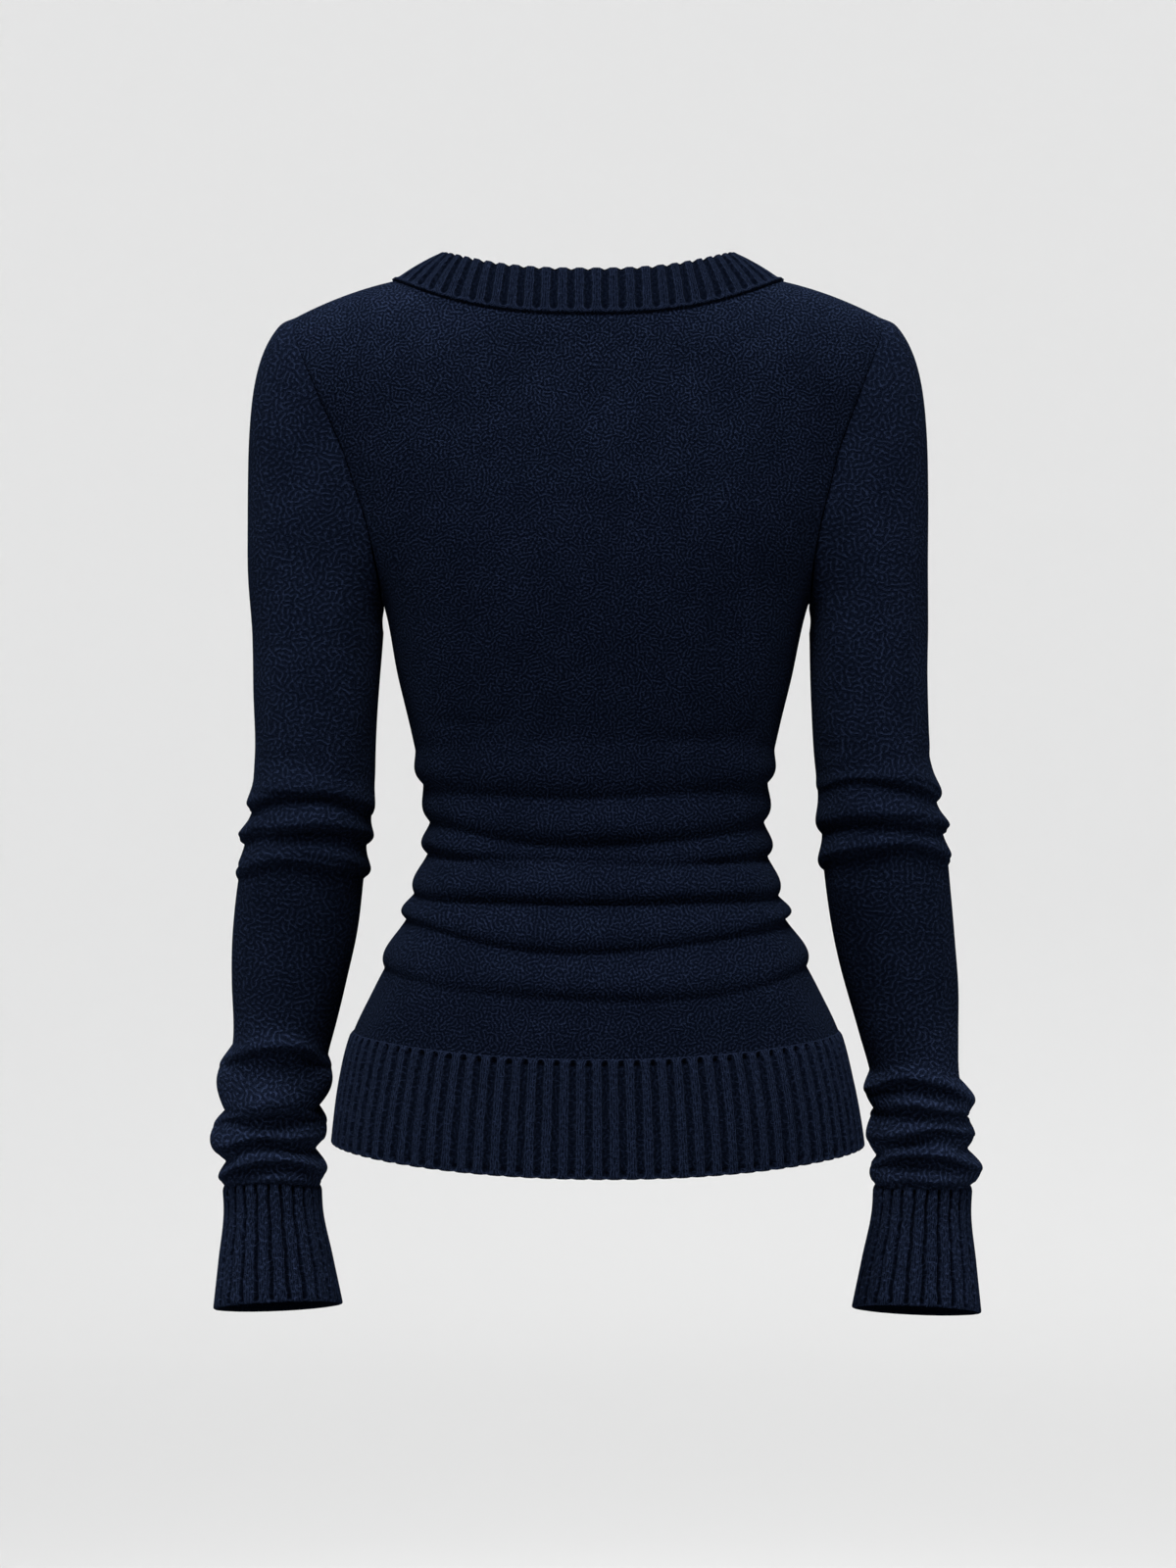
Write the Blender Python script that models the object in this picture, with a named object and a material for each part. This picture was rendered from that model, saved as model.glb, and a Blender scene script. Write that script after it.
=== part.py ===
"""Wrap sweater in fine wool knit, filled out as it is worn: twelve knitted pieces, each a thin wall.

The body is worked out from girths taken at named heights, the sleeves from pairs of outer and inner
points down the arm, and the ribbed bands from the edges that they are joined to. +X is the wearer's
left, the front faces -Y, and the origin lies between the shoulders, level with the neck points.
All sizes are in metres.
"""

import math
from collections import namedtuple

import bmesh
import bpy
import numpy as np

# Cloth
WALL = 0.0022
SEAM_GAP = 0.0003
RIB_VALLEY = -0.0004  # the channel between two ribs, measured from the panel's outer face
RIB_TOP = 0.0013
RIB_SHOULDER = 0.24  # where a rib's flat top starts and ends, as a share of its pitch
RIB_COLUMNS = 3  # columns of points to a rib: its channel and the two corners of its top

# Body
NECK_POINT = 0.123
NECK_POINT_HEIGHT = -0.0006
BACK_NECK_DROP = 0.0287
BACK_NECK_CURVE = 2.6
SHOULDER_TIP = 0.184
SHOULDER_FALL = 0.22
SHOULDER_CURVE = 2.4
SHOULDER_ROUND = 0.065  # radius of the turn from front to back over the shoulder
ARMPIT_HEIGHT = -0.205
SECTION_POWER = 2.3
HEM_SEAM_HEIGHT = -0.474
HEM_EDGE_HEIGHT = -0.5445
HEM_EDGE_TILT = 0.0011  # its left end is this much higher, its right end as much lower
HEM_EDGE_DIP = 1.1  # dip of the lower edge for each millimetre of the seam's
HEM_DIP_BACK = 0.010
HEM_DIP_FRONT = 0.006

# Wrap
OVER_HEM_REACH = 0.105
UNDER_HEM_REACH = 0.085
OVER_LIFT = 0.0055
OVER_LIFT_TURN = 0.35  # share of the quarter turn from the side seam over which the lift grows
OVER_LIFT_START = -0.060
OVER_LIFT_FULL = -0.150

# Bands
BAND_WIDTH = 0.033
NECK_EDGE_HALF = 0.092
NECK_EDGE_DEPTH = 0.058
NECK_EDGE_HEIGHT = -0.0004
NECK_EDGE_RISE = 0.0166
BACK_NECK_RIBS = 28
FRONT_NECK_RIBS = 53
HEM_RIBS = 45
CUFF_RIBS = 24
CUFF_BOTTOM_TILT = 0.011
BAND_BOW = 0.0012
BAND_SETTLES = 0.055  # length of the front band that turns from the shoulder down onto the body
BAND_END_TURN = 0.060  # length over which its ribs turn level with the hem seam

# Grids
HALF_COLUMNS = 12
NECK_COLUMN = 8
FRONT_COLUMNS = 11
HEM_BAND_ROWS = 3
LINE_SAMPLES = 181
EVENLY_SPREAD = 0.4  # share of the armhole's height above which the columns are spread evenly across
SHARP_EDGE = math.radians(50)

Girth = namedtuple("Girth", "height half_width back front shift")
GIRTHS = (
    Girth(0.000, 0.2250, 0.066, 0.074, 0.0000),
    Girth(-0.024, 0.2150, 0.070, 0.078, 0.0000),
    Girth(-0.060, 0.1960, 0.076, 0.088, 0.0000),
    Girth(-0.110, 0.1720, 0.082, 0.102, -0.0015),
    Girth(-0.160, 0.1530, 0.086, 0.112, -0.0035),
    Girth(-0.205, 0.1342, 0.086, 0.114, -0.0047),
    Girth(-0.252, 0.1237, 0.081, 0.106, -0.0047),
    Girth(-0.282, 0.1163, 0.076, 0.098, -0.0042),
    Girth(-0.312, 0.1100, 0.071, 0.090, -0.0042),
    Girth(-0.334, 0.1060, 0.069, 0.086, -0.0052),
    Girth(-0.356, 0.1068, 0.070, 0.084, -0.0060),
    Girth(-0.386, 0.1145, 0.079, 0.088, -0.0052),
    Girth(-0.416, 0.1245, 0.091, 0.094, -0.0050),
    Girth(-0.446, 0.1395, 0.102, 0.100, -0.0048),
    Girth(-0.476, 0.1535, 0.109, 0.105, -0.0052),
    Girth(-0.505, 0.1610, 0.111, 0.107, -0.0055),
    Girth(-0.543, 0.1672, 0.112, 0.109, -0.0056),
    Girth(-0.560, 0.1690, 0.112, 0.109, -0.0056),
)

ArmholePoint = namedtuple("ArmholePoint", "height reach")
ARMHOLE = (
    ArmholePoint(-0.205, 0.1342),
    ArmholePoint(-0.191, 0.1352),
    ArmholePoint(-0.169, 0.1385),
    ArmholePoint(-0.150, 0.1427),
    ArmholePoint(-0.130, 0.1485),
    ArmholePoint(-0.111, 0.1540),
    ArmholePoint(-0.094, 0.1606),
    ArmholePoint(-0.070, 0.1703),
    ArmholePoint(-0.050, 0.1785),
    ArmholePoint(-0.037, 0.1835),
    ArmholePoint(-0.022, 0.1840),
)
ARMHOLE_ROWS = (-0.199, -0.184, -0.160, -0.130, -0.098, -0.068, -0.043, -0.0285)
CHEST_ROWS = (-0.284, -0.256, -0.228)
WAIST_ROWS = (-0.447, -0.303, 16)
HIP_ROW = -0.459

# Folds round the waist: a ridge's height and rise at the body's four quarters, and its half height
Fold = namedtuple("Fold", "at_back at_left at_front at_right back left front right reach")
WAIST_FOLDS = (
    Fold(-0.3138, -0.3087, -0.311, -0.3087, 0.0040, 0.0020, 0.0035, 0.0020, 0.0090),
    Fold(-0.3396, -0.3335, -0.336, -0.3310, 0.0055, 0.0015, 0.0040, 0.0035, 0.0085),
    Fold(-0.3680, -0.3459, -0.352, -0.3552, 0.0015, 0.0055, 0.0035, 0.0045, 0.0075),
    Fold(-0.3791, -0.3769, -0.378, -0.3812, 0.0055, 0.0040, 0.0040, 0.0040, 0.0090),
    Fold(-0.4036, -0.4017, -0.405, -0.4042, 0.0060, 0.0045, 0.0050, 0.0050, 0.0105),
    Fold(-0.4328, -0.4290, -0.434, -0.4346, 0.0055, 0.0050, 0.0045, 0.0055, 0.0110),
)

# A sleeve's ring of cloth: its outermost and innermost points, its middle and its half depth
ArmRing = namedtuple("ArmRing", "height outer inner middle depth")
ARM_RINGS = {
    "left": (
        ArmRing(-0.2225, 0.2127, 0.1298, 0.000, 0.0455),
        ArmRing(-0.2560, 0.2117, 0.1314, 0.001, 0.0445),
        ArmRing(-0.2970, 0.2105, 0.1339, 0.002, 0.0435),
        ArmRing(-0.3180, 0.2130, 0.1346, 0.002, 0.0430),
        ArmRing(-0.3490, 0.2162, 0.1372, 0.001, 0.0425),
        ArmRing(-0.3800, 0.2212, 0.1425, -0.003, 0.0415),
        ArmRing(-0.4110, 0.2250, 0.1464, -0.008, 0.0400),
        ArmRing(-0.4430, 0.2267, 0.1534, -0.012, 0.0385),
        ArmRing(-0.4770, 0.2267, 0.1612, -0.016, 0.0365),
        ArmRing(-0.5050, 0.2290, 0.1667, -0.019, 0.0335),
        ArmRing(-0.5350, 0.2303, 0.1730, -0.021, 0.0310),
        ArmRing(-0.5750, 0.2325, 0.1713, -0.023, 0.0306),
    ),
    "right": (
        ArmRing(-0.2225, 0.2151, 0.1397, 0.000, 0.0455),
        ArmRing(-0.2560, 0.2148, 0.1403, 0.001, 0.0445),
        ArmRing(-0.2970, 0.2163, 0.1428, 0.002, 0.0435),
        ArmRing(-0.3180, 0.2188, 0.1445, 0.002, 0.0430),
        ArmRing(-0.3490, 0.2248, 0.1462, 0.001, 0.0425),
        ArmRing(-0.3800, 0.2285, 0.1504, -0.003, 0.0415),
        ArmRing(-0.4110, 0.2328, 0.1556, -0.008, 0.0400),
        ArmRing(-0.4430, 0.2356, 0.1625, -0.012, 0.0385),
        ArmRing(-0.4770, 0.2364, 0.1708, -0.016, 0.0365),
        ArmRing(-0.5050, 0.2384, 0.1782, -0.019, 0.0335),
        ArmRing(-0.5350, 0.2420, 0.1828, -0.021, 0.0310),
        ArmRing(-0.5750, 0.2443, 0.1836, -0.023, 0.0306),
    ),
}
# Where the shoulder's curve is met by the rings that fan out from the underarm
FanPoint = namedtuple("FanPoint", "x height")
FAN = (
    FanPoint(0.1948, -0.0285),
    FanPoint(0.2046, -0.0445),
    FanPoint(0.2108, -0.0670),
    FanPoint(0.2140, -0.0980),
    FanPoint(0.2150, -0.1380),
    FanPoint(0.2148, -0.1810),
)
FAN_STAND = 0.0011  # how far the fan's inner points stand off a straight line
PAST_SEAM = (-0.3, 0.5)  # cosines between which the sleeve's start moves from beside the panel to past it
ARM_ROWS = (-0.2225, -0.255, -0.285)
ELBOW_ROWS = (-0.303, -0.387, 10)
FOREARM_ROWS = (-0.428,)
WRIST_ROWS = (-0.466, -0.575, 11)

# Folds round a sleeve: a ridge's height and rise at its back, outer and inner sides, its half height
ArmFold = namedtuple("ArmFold", "at_back at_outer at_inner back outer inner reach")
ARM_FOLDS = {
    "left": (
        ArmFold(-0.3216, -0.3254, -0.3440, 0.0050, 0.0040, 0.0025, 0.0085),
        ArmFold(-0.3393, -0.3465, -0.3447, 0.0060, 0.0050, 0.0030, 0.0080),
        ArmFold(-0.3557, -0.3676, -0.3657, 0.0050, 0.0030, 0.0035, 0.0085),
        ArmFold(-0.4818, -0.5068, -0.5018, 0.0070, 0.0085, 0.0075, 0.0115),
        ArmFold(-0.5200, -0.5421, -0.5365, 0.0080, 0.0095, 0.0070, 0.0110),
        ArmFold(-0.5496, -0.5677, -0.5627, 0.0065, 0.0045, 0.0045, 0.0085),
    ),
    "right": (
        ArmFold(-0.3150, -0.3189, -0.3273, 0.0030, 0.0050, 0.0000, 0.0085),
        ArmFold(-0.3314, -0.3397, -0.3354, 0.0060, 0.0045, 0.0025, 0.0080),
        ArmFold(-0.3484, -0.3589, -0.3564, 0.0055, 0.0025, 0.0030, 0.0085),
        ArmFold(-0.4979, -0.5155, -0.5099, 0.0055, 0.0060, 0.0050, 0.0105),
        ArmFold(-0.5225, -0.5402, -0.5402, 0.0040, 0.0040, 0.0045, 0.0085),
        ArmFold(-0.5416, -0.5627, -0.5646, 0.0075, 0.0070, 0.0045, 0.0095),
    ),
}

CuffRing = namedtuple("CuffRing", "share radius")
CUFF_RINGS = (
    CuffRing(0.0, 0.0304),
    CuffRing(0.2, 0.0304),
    CuffRing(0.6, 0.0352),
    CuffRing(1.0, 0.0402),
)
CUFF_ROWS = 4
CuffLine = namedtuple("CuffLine", "top_x bottom_x top_y bottom_y top bottom inner_rise")
CUFF_LINES = {
    "left": CuffLine(0.2019, 0.1983, -0.023, -0.026, -0.575, -0.6505, 0.0020),
    "right": CuffLine(0.2140, 0.2102, -0.023, -0.026, -0.575, -0.6530, 0.0020),
}

WOOL = (0.0105, 0.0165, 0.0330, 1.0)
WOOL_ROUGHNESS = 0.85

BACK, FRONT = 1, -1


def column(rows, name):
    """One named column of a table."""
    return np.array([getattr(row, name) for row in rows])


def through(x, knots, values):
    """A smooth curve through the knots: on each span a cubic with the slopes of its neighbours."""
    order = np.argsort(knots)
    knots, values = np.asarray(knots)[order], np.asarray(values)[order]
    slopes = np.gradient(values, knots)
    x = np.clip(x, knots[0], knots[-1])
    span = np.clip(np.searchsorted(knots, x) - 1, 0, len(knots) - 2)
    width = knots[span + 1] - knots[span]
    t = (x - knots[span]) / width
    rise = values[span + 1] - values[span]
    bend = (1 - t) * (slopes[span] * width - rise) - t * (slopes[span + 1] * width - rise)
    return values[span] + t * rise + t * (1 - t) * bend


def ramp(x, start, end):
    """0 before start, 1 after end, smooth between them."""
    t = np.clip((x - start) / (end - start), 0, 1)
    return t * t * (3 - 2 * t)


def unit(vectors):
    return vectors / np.linalg.norm(vectors, axis=-1, keepdims=True)


def points(x, y, z):
    return np.stack(np.broadcast_arrays(x, y, z), axis=-1).astype(float)


def girth(name, height):
    return through(height, column(GIRTHS, "height"), column(GIRTHS, name))


def shoulder_height(x):
    out = np.abs(x) - NECK_POINT
    return NECK_POINT_HEIGHT - SHOULDER_FALL * out - SHOULDER_CURVE * np.clip(out, 0, None) ** 2


def armhole_reach(height):
    return through(height, column(ARMHOLE, "height"), column(ARMHOLE, "reach"))


def four_quarters(turn, back, left, front, right):
    """A value round the body that has the four given values at its back, left, front and right."""
    mean = (back + left + front + right) / 4
    fore_aft = (back - front) / 2
    sideways = (left - right) / 2
    crossed = (back + front - left - right) / 4
    return mean + fore_aft * np.cos(turn) + sideways * np.sin(turn) + crossed * np.cos(2 * turn)


def waist_folds(turn, height):
    """How far the ridges of the ruched waist stand out, each a soft hump across its own line."""
    rise = np.zeros(np.broadcast(turn, height).shape)
    for fold in WAIST_FOLDS:
        line = four_quarters(turn, fold.at_back, fold.at_left, fold.at_front, fold.at_right)
        peak = four_quarters(turn, fold.back, fold.left, fold.front, fold.right)
        rise = rise + peak * np.exp(-(((height - line) / fold.reach) ** 2))
    return rise


def over_lift(quarter, height):
    """How far the front that lies over stands off: nothing at its own side seam, all of it past there."""
    along = ramp(1 + quarter, 0, OVER_LIFT_TURN)
    return OVER_LIFT * along * ramp(-height, -OVER_LIFT_START, -OVER_LIFT_FULL)


def hem_lift(quarter, height):
    """The front hem band carries both fronts: lifted as the over one is, and down again at the left seam."""
    return over_lift(quarter, height) * ramp(1 - quarter, 0, OVER_LIFT_TURN)


def body_point(x, height, face, lift=None):
    """The cloth of the body at x from its middle: a rounded section that closes over the shoulder."""
    half_width = girth("half_width", height)
    across = np.clip(x / half_width, -1, 1)
    depth = girth("back" if face == BACK else "front", height)
    below = np.clip((shoulder_height(x) - height) / SHOULDER_ROUND, 0, 1)
    over_shoulder = np.sqrt(1 - (1 - below) ** 2)
    swell = (1 - np.abs(across) ** SECTION_POWER) ** (1 / SECTION_POWER)
    quarter = np.arcsin(across) / (math.pi / 2)
    turn = np.arcsin(across) if face == BACK else math.pi - np.arcsin(across)
    outward = unit(
        points(
            np.sign(across) * np.abs(across) ** (SECTION_POWER - 1) / half_width,
            face * swell ** (SECTION_POWER - 1) / depth,
            0,
        )
    )
    rise = waist_folds(turn, height)
    if lift is not None:
        rise = rise + lift(quarter, height)
    place = points(x + girth("shift", height), face * depth * swell * over_shoulder, height)
    return place + outward * rise[..., None]


def normals(grid, around=False):
    """Unit normals of a grid of points, turned away from the middle of each of its rows."""
    wide = np.concatenate([grid[:, -1:], grid, grid[:, :1]], axis=1) if around else grid
    across = np.gradient(wide, axis=1)
    down = np.gradient(wide, axis=0)
    facing = unit(np.cross(across, down))
    if around:
        facing = facing[:, 1:-1]
        axis = grid.mean(axis=1, keepdims=True)
    else:
        axis = points(0, 0, grid[..., 2])
    outward = np.sum(facing * (grid - axis)) > 0
    return facing if outward else -facing


def flatten(vectors, index, axis):
    """Take one component out of the normals at a seam, so both pieces there end in the same plane."""
    vectors[index + (axis,)] = 0
    vectors[index] = unit(vectors[index])


def shell_faces(rows, outer_columns, inner_columns, closed):
    """Faces of a wall: its outer and inner grids, and the strips that join them along every edge."""
    outer_spans = outer_columns if closed else outer_columns - 1
    inner_spans = inner_columns if closed else inner_columns - 1
    ratio = outer_spans // inner_spans
    start = rows * outer_columns

    def outer(i, j):
        return i * outer_columns + j % outer_columns

    def inner(i, j):
        return start + i * inner_columns + j % inner_columns

    faces = []
    for i in range(rows - 1):
        for j in range(outer_spans):
            faces.append((outer(i, j), outer(i, j + 1), outer(i + 1, j + 1), outer(i + 1, j)))
        for j in range(inner_spans):
            faces.append((inner(i, j), inner(i + 1, j), inner(i + 1, j + 1), inner(i, j + 1)))
        if not closed:
            last, deep = outer_columns - 1, inner_columns - 1
            faces.append((outer(i, 0), outer(i + 1, 0), inner(i + 1, 0), inner(i, 0)))
            faces.append((outer(i, last), inner(i, deep), inner(i + 1, deep), outer(i + 1, last)))
    for i in (0, rows - 1):
        for j in range(inner_spans):
            for k in range(ratio):
                near, far = outer(i, j * ratio + k), outer(i, j * ratio + k + 1)
                if k < ratio // 2:
                    faces.append((near, far, inner(i, j)))
                elif k == ratio // 2:
                    faces.append((near, far, inner(i, j + 1), inner(i, j)))
                else:
                    faces.append((near, far, inner(i, j + 1)))
    return faces


def wall(name, outer, inner, closed=False):
    """A piece of knit as one closed solid between its outer and inner grids."""
    mesh = bpy.data.meshes.new(name)
    corners = np.concatenate([outer.reshape(-1, 3), inner.reshape(-1, 3)])
    faces = shell_faces(outer.shape[0], outer.shape[1], inner.shape[1], closed)
    mesh.from_pydata(corners.tolist(), [], faces)
    shape = bmesh.new()
    shape.from_mesh(mesh)
    bmesh.ops.recalc_face_normals(shape, faces=shape.faces)
    shape.to_mesh(mesh)
    shape.free()
    mesh.shade_smooth()
    mesh.set_sharp_from_angle(angle=SHARP_EDGE)
    mesh.materials.append(knit_material(name))
    piece = bpy.data.objects.new(name, mesh)
    bpy.data.collections["wrap_sweater"].objects.link(piece)
    return piece


def knit_material(name):
    material = bpy.data.materials.new(f"{name}_wool")
    material.use_nodes = True
    shader = material.node_tree.nodes["Principled BSDF"]
    shader.inputs["Base Color"].default_value = WOOL
    shader.inputs["Roughness"].default_value = WOOL_ROUGHNESS
    return material


def hem_seam(across, dip):
    return HEM_SEAM_HEIGHT - dip * (1 - across**2)


def row_heights():
    """Heights of the panels' rows at the side: from above the hem seam to the top of the armhole."""
    body = [HIP_ROW, *np.linspace(*WAIST_ROWS), *CHEST_ROWS, ARMPIT_HEIGHT]
    tip = shoulder_height(SHOULDER_TIP)
    return np.array(body), np.array([*ARMHOLE_ROWS, tip])


def back_panel():
    """Outer grid of the back: rows from the hem seam up, columns from the right side to the left."""
    body, armhole = row_heights()
    columns = np.arange(-HALF_COLUMNS, HALF_COLUMNS + 1)
    side = columns / HALF_COLUMNS
    round_columns = np.sin(side * math.pi / 2)
    seam = hem_seam(round_columns, HEM_DIP_BACK) + SEAM_GAP
    rows = [body_point(round_columns * girth("half_width", seam), seam, BACK)]
    for height in body:
        x = round_columns * girth("half_width", height)
        rows.append(body_point(x, np.full(side.shape, height), BACK))
    tip = armhole[-1]
    top_x = side * SHOULDER_TIP
    neckline = NECK_POINT_HEIGHT - BACK_NECK_DROP * (1 - np.abs(top_x / NECK_POINT) ** BACK_NECK_CURVE)
    top_height = np.where(np.abs(columns) <= NECK_COLUMN, neckline, shoulder_height(top_x))
    for height in armhole:
        share = (height - ARMPIT_HEIGHT) / (tip - ARMPIT_HEIGHT)
        evenness = ramp(share, 0, EVENLY_SPREAD)
        spread = (1 - evenness) * round_columns + evenness * side
        level = ARMPIT_HEIGHT + share * (top_height - ARMPIT_HEIGHT)
        rows.append(body_point(spread * armhole_reach(height), level, BACK))
    grid = np.array(rows)
    facing = normals(grid)
    finish_side_seams(grid, facing, BACK, len(body) + 1, np.abs(columns) >= NECK_COLUMN)
    return grid, facing


def finish_side_seams(grid, facing, face, armpit_row, top_seam, columns=(0, -1)):
    """Half of the gap at the side and shoulder seams, with walls that end square to them."""
    for edge in columns:
        lower = np.s_[: armpit_row + 1, edge]
        grid[lower + (1,)] = face * SEAM_GAP
        flatten(facing, lower, 1)
    shoulder = (grid.shape[0] - 1, np.flatnonzero(top_seam))
    grid[shoulder + (1,)] = face * SEAM_GAP
    flatten(facing, shoulder, 1)
    flatten(facing, np.s_[0, :], 2)


def wrap_edge(height, reach, hand):
    """x of a front's slanting edge: a straight line from its neck point to its reach at the hem seam."""
    seam = HEM_SEAM_HEIGHT - HEM_DIP_FRONT
    share = (NECK_POINT_HEIGHT - height) / (NECK_POINT_HEIGHT - seam)
    return hand * (NECK_POINT - (NECK_POINT + reach) * share)


def front_panel(hand, reach, lift):
    """Outer grid of a front: hand +1 hangs from the left side seam, -1 from the right one."""
    body, armhole = row_heights()
    share_across = np.linspace(0, 1, FRONT_COLUMNS + 1)
    tip = armhole[-1]
    rows = []
    for height in (HEM_SEAM_HEIGHT, *body, *armhole):
        rise = (height - ARMPIT_HEIGHT) / (tip - ARMPIT_HEIGHT)
        if height <= ARMPIT_HEIGHT:
            level = np.full(share_across.shape, height)
            side = hand * girth("half_width", height)
        else:
            edge_level = ARMPIT_HEIGHT + rise * (NECK_POINT_HEIGHT - ARMPIT_HEIGHT)
            level = height + (edge_level - height) * share_across
            side = hand * armhole_reach(height)
        edge = wrap_edge(level[-1], reach, hand) - girth("shift", level[-1])
        width = girth("half_width", height)
        from_side, to_edge = np.arcsin(side / width), np.arcsin(edge / width)
        x = width * np.sin(from_side + (to_edge - from_side) * share_across)
        if rise > 0:
            evenness = ramp(rise, 0, EVENLY_SPREAD)
            x = (1 - evenness) * x + evenness * (side + (edge - side) * share_across)
        if rise == 1:
            level = shoulder_height(x)
        if height == HEM_SEAM_HEIGHT:
            level = hem_seam(x / width, HEM_DIP_FRONT) + SEAM_GAP
        rows.append(body_point(x, level, FRONT, lift))
    grid = np.array(rows)
    facing = normals(grid)
    every = np.ones(share_across.shape, bool)
    finish_side_seams(grid, facing, FRONT, len(body), every, columns=(0,))
    return grid, facing


def panel(name, grid, facing):
    return wall(name, grid, grid - WALL * facing)


def stations(ribs, closed=False):
    """Where a ribbed piece has its columns, as shares of its length, and how far each is raised."""
    within = np.array([0, RIB_SHOULDER, 1 - RIB_SHOULDER])
    places = (np.arange(ribs)[:, None] + within).ravel()
    raised = np.tile([RIB_VALLEY, RIB_TOP, RIB_TOP], ribs)
    if not closed:
        places = np.append(places, ribs)
        raised = np.append(raised, RIB_VALLEY)
    return places / ribs, raised


def distances(line):
    """How far along the line each of its points lies."""
    steps = np.linalg.norm(np.diff(line, axis=0), axis=1)
    return np.concatenate([[0], np.cumsum(steps)])


def along(values, shares, line):
    """Values that go with the points of a line, read at the given shares of its length."""
    travelled = distances(line)
    places = travelled / travelled[-1]
    return np.stack([np.interp(shares, places, values[:, i]) for i in range(3)], axis=-1)


def ribbed(name, base, facing, raised, closed=False):
    """A ribbed piece: ribs raised in the outer grid over a plain inner one with a column for each rib."""
    outer = base + facing * raised[None, :, None]
    inner = (base - WALL * facing)[:, ::RIB_COLUMNS]
    return wall(name, outer, inner, closed)


def neck_band(name, seam, seam_facing, middle, free, ribs, face, ends):
    """A band from a panel's edge over a middle line to its free edge, lines with matching points."""
    shares, raised = stations(ribs)
    near, half, far = (along(line, shares, seam) for line in (seam, middle, free))
    turn = unit(along(seam_facing, shares, seam))
    across = unit(half - near)
    near = near + SEAM_GAP * unit(across - turn * np.sum(across * turn, axis=1, keepdims=True))
    base = np.array([near, half, far])
    facing = normals(base)
    facing[0] = turn
    for edge in ends:
        base[:, edge, 1] = face * SEAM_GAP
        flatten(facing, np.s_[:, edge], 1)
    if face == FRONT:
        end = base[:, -1]
        sideways = end[:, 0] - girth("shift", end[:, 2])
        end[:, 2] = hem_seam(sideways / girth("half_width", end[:, 2]), HEM_DIP_FRONT) + SEAM_GAP
        flatten(facing, np.s_[:, -1], 2)
    return ribbed(name, base, facing, raised)


def back_neck_band(grid, facing):
    """The band behind the neck: its free edge is an oval that rises towards the shoulders."""
    middle, reach = HALF_COLUMNS, NECK_COLUMN
    seam = grid[-1, middle - reach : middle + reach + 1]
    turn = facing[-1, middle - reach : middle + reach + 1]
    travelled = distances(seam)
    across = np.sin((2 * travelled / travelled[-1] - 1) * math.pi / 2)
    bow = np.clip(1 - np.abs(across) ** SECTION_POWER, 0, 1) ** (1 / SECTION_POWER)
    rise = NECK_EDGE_RISE * np.abs(across) ** BACK_NECK_CURVE
    free = points(NECK_EDGE_HALF * across, NECK_EDGE_DEPTH * bow, NECK_EDGE_HEIGHT + rise)
    middle = (seam + free) / 2 + BAND_BOW * turn
    return neck_band("neckband_back", seam, turn, middle, free, BACK_NECK_RIBS, BACK, (0, -1))


def front_neck_band(name, grid, facing, hand, lift):
    """The band down a front's slanting edge: from the shoulder, laid on the body, to the hem seam."""
    seam, turn = grid[::-1, -1], facing[::-1, -1]
    run = unit(np.gradient(seam, axis=0))
    across = unit(np.cross(run, turn))
    across = across * np.sign(across[len(across) // 2, 2])
    travelled = distances(seam)
    level = unit(np.cross(turn, [0, 0, 1]))
    level = level * np.sign(-hand * level[:, :1])
    cut = ramp(travelled, travelled[-1] - BAND_END_TURN, travelled[-1])[:, None]
    heading = unit((1 - cut) * across + cut * level)
    slant = np.sum(heading * run, axis=1, keepdims=True)
    width = BAND_WIDTH / np.sqrt(1 - slant**2)
    shoulder_end = points(hand * NECK_EDGE_HALF, 0, NECK_EDGE_HEIGHT + NECK_EDGE_RISE)
    settled = ramp(travelled, 0, BAND_SETTLES)[:, None]

    def line(share):
        ahead = seam + heading * width * share
        laid = body_point(ahead[:, 0] - girth("shift", ahead[:, 2]), ahead[:, 2], FRONT, lift)
        return (1 - settled) * (seam + share * (shoulder_end - seam[0])) + settled * laid

    return neck_band(name, seam, turn, line(0.5), line(1.0), FRONT_NECK_RIBS, FRONT, (0,))


def hem_band(name, face, dip, lift):
    """Half of the hem band, from one side seam to the other."""
    shares, raised = stations(HEM_RIBS)
    fine = np.linspace(-1, 1, LINE_SAMPLES)
    fine_x = np.sin(fine * math.pi / 2) * girth("half_width", HEM_SEAM_HEIGHT)
    travelled = distances(body_point(fine_x, np.full(fine.shape, HEM_SEAM_HEIGHT), face))
    across = np.sin(np.interp(shares, travelled / travelled[-1], fine) * math.pi / 2)
    rows = []
    for share in np.linspace(0, 1, HEM_BAND_ROWS):
        top = hem_seam(across, dip)
        bottom = HEM_EDGE_HEIGHT + HEM_EDGE_TILT * across - dip * HEM_EDGE_DIP * (1 - across**2)
        level = top + (bottom - top) * share
        rows.append(body_point(across * girth("half_width", level), level, face, lift))
    base = np.array(rows)
    facing = normals(base)
    for edge in (0, -1):
        base[:, edge, 1] = face * SEAM_GAP
        flatten(facing, np.s_[:, edge], 1)
    flatten(facing, np.s_[0, :], 2)
    flatten(facing, np.s_[-1, :], 2)
    return ribbed(name, base, facing, raised)


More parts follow.
